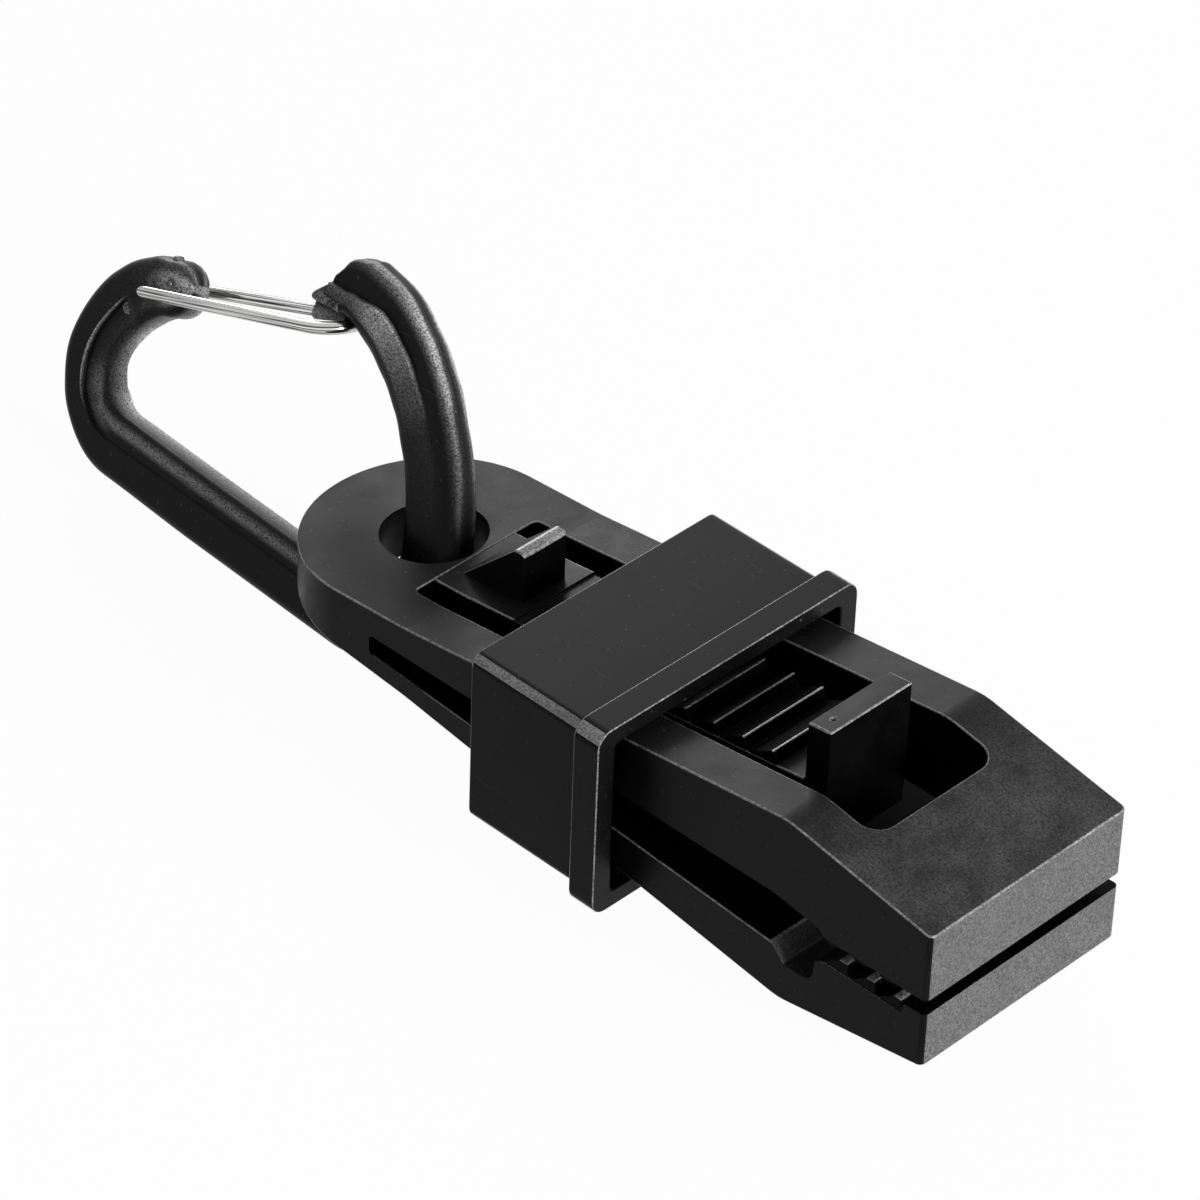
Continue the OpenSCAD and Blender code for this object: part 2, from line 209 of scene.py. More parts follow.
class SurfaceGraph(Graph):
    """Graph of a material, with the steps that the finishes share."""

    LUMPS: ClassVar[Point] = (0.3, 0.7)
    STRETCH_TURN: ClassVar[tuple[float, float, float]] = (0.4, 0.7, 0.5)

    def __init__(self, name: str) -> None:
        """Makes a material and finds its shader.

        Args:
            name: Name of the material.
        """
        self.material = bpy.data.materials.new(name)
        self.material.use_nodes = True
        super().__init__(self.material.node_tree)
        self.shader = self.tree.nodes["Principled BSDF"]
        self.place = self.add("ShaderNodeTexCoord").outputs["Object"]

    def noise(self, grain_mm: float, detail: float = 2.0, stretch: Vector | None = None) -> Socket:
        """Noise on the piece's own coordinates.

        Args:
            grain_mm: Size of the noise's lumps.
            detail: Levels of finer lumps.
            stretch: Factors along X, Y and Z that draw the lumps out.

        Returns:
            The socket with the noise, from 0 to 1.
        """
        place = self.place
        if stretch is not None:
            turned = {"Vector": place, "Scale": stretch, "Rotation": self.STRETCH_TURN}
            place = self.made("ShaderNodeMapping", turned)
        feeds = {"Vector": place, "Scale": 1 / (grain_mm * MM), "Detail": detail}
        return self.made("ShaderNodeTexNoise", feeds)

    def spread(self, value: Socket, span: Point, onto: Point) -> Socket:
        """Maps the values of a socket from one span onto another, clamped."""
        return self.made("ShaderNodeMapRange", dict(enumerate((value, *span, *onto))))

    def sum(self, *values: Socket) -> Socket:
        """Adds the values of some sockets."""
        return self.fold("ADD", values)

    def product(self, one: Socket, two: Socket) -> Socket:
        """Multiplies the values of two sockets."""
        return self.fold("MULTIPLY", (one, two))

    def attribute(self, name: str) -> Socket:
        """Number that the mesh stores under a name."""
        return self.add("ShaderNodeAttribute", attribute_name=name).outputs["Fac"]

    def along_x(self) -> Socket:
        """Place along X on the piece."""
        return self.made("ShaderNodeSeparateXYZ", {0: self.place})

    def drift(self, noise: Socket, low: float, high: float) -> Socket:
        """Maps the span that a noise mostly keeps to onto other values."""
        return self.spread(noise, self.LUMPS, (low, high))

    def paint(self, lightness: Socket, tint: Vector) -> None:
        """Makes the base colour from a lightness and a tint."""
        colour = self.made("ShaderNodeVectorMath", {0: tint, "Scale": lightness}, operation="SCALE")
        self.feed(self.shader, {"Base Color": colour})

    def bump(self, height: Socket, depth_mm: float) -> None:
        """Roughens the surface by a height from 0 to 1 times the depth."""
        feeds = {"Strength": 1.0, "Distance": depth_mm * MM, "Height": height}
        self.feed(self.shader, {"Normal": self.made("ShaderNodeBump", feeds)})


@dataclass(frozen=True)
class Nylon:
    """Black nylon as one face of a mould leaves it.

    Attributes:
        name: Name of the material.
        grey: Mean brightness of the plastic.
        mottle: Share by which the brightness drifts over the surface.
        roughness: Mean roughness.
        specular: Specular level.
        grain_mm: Size of the mould's grain.
        grain_depth_mm: Depth of the grain.
        sparkle: Share by which the colour is lighter on the grain's crests and darker in its hollows: painted
            highlight and painted shade on the grain.
        scuffs: How much fine scratches are lighter than the plastic.
        painted_highlight: How much lighter the plastic is painted where the stored painted highlight is full.
        fade_mm: Where along X the grain starts and where it is full, or nothing if it is everywhere.
    """

    name: str
    grey: float
    mottle: float
    roughness: float
    specular: float
    grain_mm: float
    grain_depth_mm: float
    sparkle: float
    scuffs: float
    painted_highlight: float = 0.0
    fade_mm: Point | None = None

    BARE: ClassVar[float] = 0.16
    SCRATCH: ClassVar[Vector] = Vector((1.0, 22.0, 22.0))
    TINT: ClassVar[Vector] = Vector((1.0, 1.0, 1.02))
    PAINTED_HIGHLIGHT: ClassVar[str] = "painted_highlight"
    CLOUD_MM: ClassVar[float] = 4.0
    CLOUD_ROUGH: ClassVar[float] = 0.05
    GRAIN_ROUGH: ClassVar[float] = 0.04
    SCRATCH_MM: ClassVar[float] = 9.0
    SCRATCHED: ClassVar[Point] = (0.73, 0.78)
    SPECK_MM: ClassVar[float] = 0.55
    SPECKED: ClassVar[Point] = (0.79, 0.82)

    def material(self) -> Material:
        """Builds the node material of this finish.

        Returns:
            The material.
        """
        graph = SurfaceGraph(self.name)
        grain = graph.noise(self.grain_mm)
        clouds = graph.noise(self.CLOUD_MM, 4.0)
        # Lighter crests and darker hollows of the grain: painted highlight and painted shade.
        crests = graph.drift(grain, 1 - self.sparkle, 1 + self.sparkle)
        plain = graph.drift(clouds, self.grey * (1 - self.mottle), self.grey * (1 + self.mottle))
        # Painted highlight stored on the mesh: lighter colour on rounds, ridges and steps that catch the
        # light.
        painted_highlight = graph.spread(graph.attribute(self.PAINTED_HIGHLIGHT), (0.0, 1.0), (0.0, self.painted_highlight))
        lightness = graph.product(graph.sum(plain, painted_highlight), crests)
        height = grain
        if self.fade_mm is not None:
            start, full = (x * MM for x in self.fade_mm)
            along = graph.along_x()
            height = graph.product(grain, graph.spread(along, (start, full), (0.0, 1.0)))
            lightness = graph.product(lightness, graph.spread(along, (start, full), (self.BARE, 1.0)))
        scratches = graph.noise(self.SCRATCH_MM, 1.0, self.SCRATCH)
        specks = graph.noise(self.SPECK_MM, 0.0)
        lightness = graph.sum(
            lightness,
            graph.spread(scratches, self.SCRATCHED, (0.0, self.scuffs)),
            graph.spread(specks, self.SPECKED, (0.0, 2 * self.scuffs)),
        )
        graph.paint(lightness, self.TINT)
        roughness = graph.sum(
            graph.drift(clouds, self.roughness - self.CLOUD_ROUGH, self.roughness + self.CLOUD_ROUGH),
            graph.drift(grain, -self.GRAIN_ROUGH, self.GRAIN_ROUGH),
        )
        graph.feed(graph.shader, {"Roughness": roughness, "Specular IOR Level": self.specular})
        graph.bump(height, self.grain_depth_mm)
        return graph.material


@dataclass(frozen=True)
class Steel:
    """Bright drawn spring wire, with lines along it that are partly the die's marks and partly painted
    reflections of dark and light surroundings.

    Attributes:
        name: Name of the material.
        bright: Brightness of the light lines, in part a painted reflection.
        dark: Brightness of the dark lines, in part a painted reflection of dark surroundings.
        roughness: Mean roughness.
    """

    name: str
    bright: float
    dark: float
    roughness: float

    TINT: ClassVar[Vector] = Vector((1.0, 0.99, 0.965))
    AROUND: ClassVar[str] = "around"
    ALONG: ClassVar[str] = "along"
    LINES_AROUND: ClassVar[float] = 26.0
    LINES_ALONG: ClassVar[float] = 0.05
    LINE_SPAN: ClassVar[Point] = (0.4, 0.6)
    LINE_DEPTH_MM: ClassVar[float] = 0.01
    SMEAR_MM: ClassVar[float] = 2.5

    def material(self) -> Material:
        """Builds the node material of this finish.

        Returns:
            The material.
        """
        graph = SurfaceGraph(self.name)
        wraps = graph.spread(graph.attribute(self.AROUND), (0.0, 1.0), (0.0, self.LINES_AROUND))
        runs = graph.spread(graph.attribute(self.ALONG), (0.0, 100.0), (0.0, 100 * self.LINES_ALONG))
        place = graph.made("ShaderNodeCombineXYZ", {0: wraps, 1: runs})
        lines = graph.made("ShaderNodeTexNoise", {"Vector": place, "Scale": 1.0, "Detail": 3.0})
        # Dark and bright bands along the wire: die lines and painted reflections.
        graph.paint(graph.spread(lines, self.LINE_SPAN, (self.dark, self.bright)), self.TINT)
        smears = graph.noise(self.SMEAR_MM)
        rough = graph.drift(smears, self.roughness - 0.04, self.roughness + 0.05)
        graph.feed(graph.shader, {"Roughness": rough, "Metallic": 1.0})
        graph.bump(lines, self.LINE_DEPTH_MM)
        return graph.material


@dataclass(frozen=True)
class Corner:
    """Corner of an outline and the radius that rounds it."""

    x: float
    z: float
    r: float = 0.0


STRAIGHT = 1e-3
LONGEST_REACH = 0.49


def rounded(corners: Sequence[Corner], step: float = 12.0) -> list[Point]:
    """Draws a closed outline with round corners.

    Args:
        corners: Corners in order.
        step: Largest turn of one facet of a round, in degrees.

    Returns:
        Points of the outline.
    """
    points: list[Point] = []
    for i, corner in enumerate(corners):
        after = corners[(i + 1) % len(corners)]
        here = Vector((corner.x, corner.z))
        back = Vector((corners[i - 1].x, corners[i - 1].z)) - here
        ahead = Vector((after.x, after.z)) - here
        turn = math.pi - back.angle(ahead)
        if corner.r <= 0 or turn < STRAIGHT:
            points.append((corner.x, corner.z))
            continue
        room = LONGEST_REACH * back.length, LONGEST_REACH * ahead.length
        reach = min(corner.r * math.tan(turn / 2), *room)
        radius = reach / math.tan(turn / 2)
        middle = here + (back.normalized() + ahead.normalized()).normalized() * radius / math.cos(turn / 2)
        arm = here + back.normalized() * reach - middle
        sign = 1 if back.x * ahead.y - back.y * ahead.x < 0 else -1
        parts = max(2, math.ceil(math.degrees(turn) / step))
        for k in range(parts + 1):
            spoke = Matrix.Rotation(sign * turn * k / parts, 2) @ arm
            points.append(tuple(middle + spoke))
    return points


def prism(outline: Sequence[Point], low: float, high: float, axis: Axis) -> Mesh:
    """Draws an outline out into a solid.

    Args:
        outline: Points along X and Z for a solid across the clamp, or along X and Y for an upright one.
        low: Where the solid starts along the axis.
        high: Where it ends.
        axis: Direction of the solid.

    Returns:
        The closed mesh.
    """
    shape = bmesh.new()
    rings = []
    for level in (low, high):
        rows = [(a, level, b) if axis is Axis.ACROSS else (a, b, level) for a, b in outline]
        rings.append([shape.verts.new(row) for row in rows])
    shape.faces.new(rings[0])
    shape.faces.new(list(reversed(rings[1])))
    count = len(outline)
    for i in range(count):
        j = (i + 1) % count
        shape.faces.new((rings[0][i], rings[0][j], rings[1][j], rings[1][i]))
    return shape


def loft(
    rings: Sequence[Sequence[Vector]], closed: bool, highlight_paint: Sequence[Sequence[float]] | None = None
) -> Mesh:
    """Skins a row of rings that have equally many points.

    Args:
        rings: Points of each ring.
        closed: Whether the last ring meets the first; otherwise both ends are capped.
        highlight_paint: Painted highlight at each point, from 0 to 1.

    Returns:
        The closed mesh.
    """
    shape = bmesh.new()
    # Layer that stores the painted highlight of each point.
    layer = shape.verts.layers.float.new(Nylon.PAINTED_HIGHLIGHT) if highlight_paint is not None else None
    rows = [[shape.verts.new(point) for point in ring] for ring in rings]
    count = len(rows[0])
    pairs = list(zip(rows, rows[1:]))
    if closed:
        pairs.append((rows[-1], rows[0]))
    for one, two in pairs:
        for i in range(count):
            j = (i + 1) % count
            shape.faces.new((one[i], one[j], two[j], two[i]))
    if not closed:
        shape.faces.new(list(reversed(rows[0])))
        shape.faces.new(rows[-1])
    if layer is not None:
        for row, values in zip(rows, highlight_paint):
            for vert, value in zip(row, values):
                vert[layer] = value
    return shape


def drum(radii: Sequence[Point], sides: int = 96) -> Mesh:
    """Turned solid about Z.

    Args:
        radii: Height and radius of each ring, from one end to the other.
        sides: Number of sides.

    Returns:
        The closed mesh.
    """
    turns = [2 * math.pi * k / sides for k in range(sides)]
    rings = [[Vector((r * math.cos(t), r * math.sin(t), z)) for t in turns] for z, r in radii]
    return loft(rings, closed=False)


def round_box(half_a: float, half_b: float, radii: Point, steps: int) -> list[Point]:
    """Rectangle about the origin with round corners.

    Args:
        half_a: Half its first side.
        half_b: Half its second side.
        radii: Radius of the corners at the first side's upper and lower end.
        steps: Facets of each round.

    Returns:
        Points of the outline.
    """
    points = []
    for k, (a, b) in enumerate(((1, 1), (-1, 1), (-1, -1), (1, -1))):
        r = radii[0] if a > 0 else radii[1]
        for i in range(steps + 1):
            turn = math.pi / 2 * (k + i / steps)
            spot = a * (half_a - r) + r * math.cos(turn), b * (half_b - r) + r * math.sin(turn)
            points.append(spot)
    return points


EdgeRule = Callable[[Vector, Vector], bool]


class Blank:
    """Mesh in the making, in millimetres, that is cut and rounded before it is set in the frame."""

    WELD: ClassVar[float] = 1e-4
    ROUND_STEPS: ClassVar[int] = 3

    def __init__(self, name: str, shape: Mesh) -> None:
        """Makes the mesh of a shape, with its faces turned outwards.

        Args:
            name: Name of the blank and of the piece that it becomes.
            shape: Closed mesh, which is used up.
        """
        bmesh.ops.recalc_face_normals(shape, faces=shape.faces)
        self.obj = put(name, bpy.data.meshes.new(name))
        self.store(shape)

    def apply(self) -> None:
        """Turns the result of the blank's modifiers into its plain mesh."""
        bpy.context.view_layer.update()
        graph = bpy.context.evaluated_depsgraph_get()
        made = bpy.data.meshes.new_from_object(self.obj.evaluated_get(graph))
        self.obj.modifiers.clear()
        old, self.obj.data = self.obj.data, made
        bpy.data.meshes.remove(old)
        made.name = self.obj.name

    def shape(self) -> Mesh:
        """Copies the blank's mesh for editing.

        Returns:
            The copy.
        """
        shape = bmesh.new()
        shape.from_mesh(self.obj.data)
        return shape

    def store(self, shape: Mesh) -> "Blank":
        """Makes an edited shape the blank's mesh.

        Args:
            shape: The shape, which is used up.

        Returns:
            This blank.
        """
        shape.to_mesh(self.obj.data)
        shape.free()
        return self

    def scrap(self) -> None:
        """Removes the blank from the scene."""
        mesh = self.obj.data
        bpy.data.objects.remove(self.obj)
        bpy.data.meshes.remove(mesh)

    def combine(self, tool: "Blank", how: Cut) -> "Blank":
        """Cuts the blank with a tool, or joins the two.

        Args:
            tool: The other blank, which is used up.
            how: What happens to the two.

        Returns:
            This blank.
        """
        modifier = self.obj.modifiers.new("tool", "BOOLEAN")
        modifier.operation = how.value
        modifier.solver = "EXACT"
        modifier.object = tool.obj
        self.apply()
        tool.scrap()
        shape = self.shape()
        bmesh.ops.remove_doubles(shape, verts=shape.verts, dist=self.WELD)
        bmesh.ops.dissolve_degenerate(shape, edges=shape.edges, dist=self.WELD)
        return self.store(shape)

    def round_edges(self, width: float, angle: float = 35.0, chosen: EdgeRule | None = None) -> "Blank":
        """Rounds outward edges that are sharper than an angle, and gives the rounds the slot of the painted
        edge highlight.

        Args:
            width: Width of the rounds.
            angle: Least angle between the faces, in degrees.
            chosen: Tells from an edge's ends whether it is rounded; all are without it.

        Returns:
            This blank.
        """
        shape = self.shape()
        weight = shape.edges.layers.float.new("bevel_weight_edge")
        for edge in shape.edges:
            ends = edge.verts[0].co, edge.verts[1].co
            sharp = edge.is_manifold and edge.is_convex and edge.calc_face_angle() > math.radians(angle)
            edge[weight] = float(sharp and (chosen is None or chosen(*ends)))
        self.store(shape)
        modifier = self.obj.modifiers.new("round", "BEVEL")
        modifier.width = width
        modifier.segments = self.ROUND_STEPS
        modifier.limit_method = "WEIGHT"
        modifier.use_clamp_overlap = False
        # The rounds get the lighter copy that paints a highlight on edges.
        modifier.material = Skin.EDGE.value
        for _ in range(len(Skin) - len(self.obj.data.materials)):
            self.obj.data.materials.append(None)
        self.apply()
        return self

    @staticmethod
    def slice(shape: Mesh, x: float, clear_back: bool = False, clear_front: bool = False) -> None:
        """Cuts a mesh along a plane across X.

        Args:
            shape: The mesh.
            x: Place of the plane.
            clear_back: Whether what lies behind the plane is cleared.
            clear_front: Whether what lies before it is cleared.
        """
        everything = [*shape.verts, *shape.edges, *shape.faces]
        plane = {"plane_co": (x, 0, 0), "plane_no": (1, 0, 0)}
        bmesh.ops.bisect_plane(
            shape, geom=everything, clear_inner=clear_back, clear_outer=clear_front, **plane
        )

    def part(self, x: float, front: bool) -> Mesh:
        """Cuts off what lies behind or before a plane across X, and closes the cut.

        Args:
            x: Place of the plane.
            front: Whether the part before the plane is kept.

        Returns:
            The kept mesh.
        """
        shape = self.shape()
        self.slice(shape, x, clear_back=front, clear_front=not front)
        rims = [edge for edge in shape.edges if edge.is_boundary]
        bmesh.ops.holes_fill(shape, edges=rims, sides=0)
        return shape

    def lengthen(self, places: Iterable[float]) -> "Blank":
        """Adds edges across X, so that the mesh can bend there.

        Args:
            places: Where along X the edges go.

        Returns:
            This blank.
        """
        shape = self.shape()
        for x in places:
            self.slice(shape, x)
        return self.store(shape)


def bar(name: str, outline: Sequence[Point], half: float) -> Blank:
    """Blank of a solid across the clamp, of a side outline and half its width."""
    return Blank(name, prism(outline, -half, half, Axis.ACROSS))


def loose_parts(shape: Mesh) -> list[Mesh]:
    """Splits a mesh into its separate solids, lowest first.

    Args:
        shape: Mesh, which is used up.

    Returns:
        A mesh for each solid.
    """
    shape.verts.ensure_lookup_table()
    seen: set[int] = set()
    groups: list[set[int]] = []
    for vert in shape.verts:
        if vert.index in seen:
            continue
        group, queue = {vert.index}, [vert]
        while queue:
            for edge in queue.pop().link_edges:
                for other in edge.verts:
                    if other.index not in group:
                        group.add(other.index)
                        queue.append(other)
        seen |= group
        groups.append(group)
    parts = []
    for group in groups:
        one = shape.copy()
        one.verts.ensure_lookup_table()
        bmesh.ops.delete(one, geom=[v for v in one.verts if v.index not in group], context="VERTS")
        parts.append(one)
    shape.free()
    return sorted(parts, key=lambda one: sum(v.co.z for v in one.verts) / len(one.verts))


SkinRule = Callable[[Vector, Vector], Skin]
STRAIGHT_ON = 0.9
HALFWAY = 0.5
TILTED = 0.3
Stretch = tuple[Vector, Vector]


def stretch(x: float, length: float) -> Stretch:
    """Start and end of a stretch along X."""
    return Vector((x, 0, 0)), Vector((x + length, 0, 0))


@dataclass(frozen=True)
class Dressing:
    """How a blank becomes a piece: finishes, a record slot that dress does not use, body and the node that it
    stands for.
    """

    skins: dict[Skin, Material]
    slot: Slot
    body: Body
    node: str | None

    EDGE_TILT: ClassVar[float] = 0.2
    EDGE_LOW: ClassVar[float] = -2.0
    FAR_TILT: ClassVar[float] = 0.3
    BACK_TILT: ClassVar[float] = 0.15
    SHARP: ClassVar[float] = math.radians(34)

    def shows_edge(self, middle: Vector, normal: Vector) -> bool:
        """Whether a rounded edge keeps its painted highlight, which stands for the light that it catches.

        Args:
            middle: Middle of a face of the round.
            normal: Its normal.

        Returns:
            Whether the face looks up, or down at the underside, and neither back nor to the far side.
        """
        back = normal.x < -self.BACK_TILT and normal.y > -self.FAR_TILT
        away = back or normal.y > self.FAR_TILT
        upward = normal.z > self.EDGE_TILT
        return not away and (upward or (normal.z < -self.EDGE_TILT and middle.z < self.EDGE_LOW))

    def dress(self, blank: Blank, rule: SkinRule | None = None, bend: Stretch | None = None) -> None:
        """Sets a blank in the frame as a finished piece.

        Args:
            blank: The finished blank.
            rule: Chooses a face's finish or painted shade from its middle and its normal; edge faces that
                shows_edge picks keep the painted highlight.
            bend: Start and end of the stretch where the piece would bend away from the clamp's tail; only
                whether it is given is used, and then the piece is baked in place instead of being put on a
                body.
        """
        obj = blank.obj
        mesh = obj.data
        edges = {face.index for face in mesh.polygons if face.material_index == Skin.EDGE.value}
        mesh.materials.clear()
        for skin in Skin:
            mesh.materials.append(self.skins[skin])
        for face in mesh.polygons:
            if face.index in edges and self.shows_edge(face.center, face.normal):
                face.material_index = Skin.EDGE.value
            elif rule is not None:
                face.material_index = rule(face.center, face.normal).value
        mesh.transform(Matrix.Scale(MM, 4))
        mesh.shade_smooth()
        mesh.set_sharp_from_angle(angle=self.SHARP)
        modifier = obj.modifiers.new("even shading", "WEIGHTED_NORMAL")
        modifier.keep_sharp = True
        blank.apply()
        if self.node is not None:
            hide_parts(self.node)
        if bend is None:
            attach(obj, self.body.value)
        else:
            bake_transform(obj)
        LOG.info("%s: %d faces on %s", obj.name, len(obj.data.polygons), self.body.value)


class NodeShape(Graph):
    """Shape that a node tree makes from a base mesh."""

    def __init__(self, title: str, sockets: dict[str, str]) -> None:
        """Makes an empty tree.

        Args:
            title: Name of the tree.
            sockets: Name and socket type of each input besides the base mesh and its finish.
        """
        super().__init__(bpy.data.node_groups.new(title, "GeometryNodeTree"))
        face = self.tree.interface
        inputs = {"Base": "Geometry", "Finish": "Material", **sockets}
        for name, kind in inputs.items():
            face.new_socket(name, in_out="INPUT", socket_type=f"NodeSocket{kind}")
        face.new_socket("Shape", in_out="OUTPUT", socket_type="NodeSocketGeometry")
        self.inputs = self.add("NodeGroupInput").outputs

    def close(self, shape: Socket) -> None:
        """Ends the tree by realizing what it made and setting its material.

        Args:
            shape: What the tree made.
        """
        real = self.made("GeometryNodeRealizeInstances", {0: shape})
        feeds = {"Geometry": real, "Material": self.inputs["Finish"]}
        self.add("NodeGroupOutput", {0: self.made("GeometryNodeSetMaterial", feeds)})

    def run(self, blank: Blank, values: dict[str, object]) -> Blank:
        """Runs the tree on a blank.

        Args:
            blank: The base mesh, which becomes the result.
            values: Value of each named input.

        Returns:
            The blank.
        """
        modifier = blank.obj.modifiers.new(self.tree.name, "NODES")
        modifier.node_group = self.tree
        for item in self.tree.interface.items_tree:
            if item.in_out == "INPUT" and item.name in values:
                modifier[item.identifier] = values[item.name]
        blank.apply()
        return blank


class RibRow(NodeShape):
    """Row of like ribs along a line."""

    def __init__(self) -> None:
        """Builds the tree: a line of points, each with a copy of the base rib."""
        super().__init__("rib row", {"Count": "Int", "Step": "Vector"})
        feeds = {"Count": self.inputs["Count"], "Offset": self.inputs["Step"]}
        line = self.made("GeometryNodeMeshLine", feeds, mode="OFFSET")
        feeds = {"Points": line, "Instance": self.inputs["Base"]}
        self.close(self.made("GeometryNodeInstanceOnPoints", feeds))


class BentWire(NodeShape):
    """Round wire along a line of straight runs, bent at each point by the radius stored there."""

    BEND: ClassVar[str] = "bend"

    def __init__(self) -> None:
        """Builds the tree: the base line gets its bends and a round section."""
        super().__init__("bent wire", {"Radius": "Float", "Sides": "Int", "Bend steps": "Int"})
        line = self.made("GeometryNodeMeshToCurve", {"Mesh": self.inputs["Base"]})
        bend = self.add("GeometryNodeInputNamedAttribute", {"Name": self.BEND}, data_type="FLOAT")
        feeds = {"Curve": line, "Radius": bend.outputs["Attribute"], "Count": self.inputs["Bend steps"]}
        turned = self.made("GeometryNodeFilletCurve", feeds, mode="POLY")
        feeds = {"Radius": self.inputs["Radius"], "Resolution": self.inputs["Sides"]}
        ring = self.made("GeometryNodeCurvePrimitiveCircle", feeds, mode="RADIUS")
        curve = self.mark(turned, Steel.ALONG, "Length")
        profile = self.mark(ring, Steel.AROUND, "Factor")
        feeds = {"Curve": curve, "Profile Curve": profile, "Fill Caps": True}
        self.close(self.made("GeometryNodeCurveToMesh", feeds))

    def mark(self, curve: Socket, name: str, measure: str) -> Socket:
        """Stores the place along a curve under a name.

        Args:
            curve: The curve.
            name: Name of the stored number.
            measure: Whether it is a length or a factor of the whole.

        Returns:
            The curve with the stored number.
        """
        place = self.add("GeometryNodeSplineParameter").outputs[measure]
        feeds = {"Geometry": curve, "Name": name, "Value": place}
        return self.made("GeometryNodeStoreNamedAttribute", feeds, data_type="FLOAT", domain="POINT")


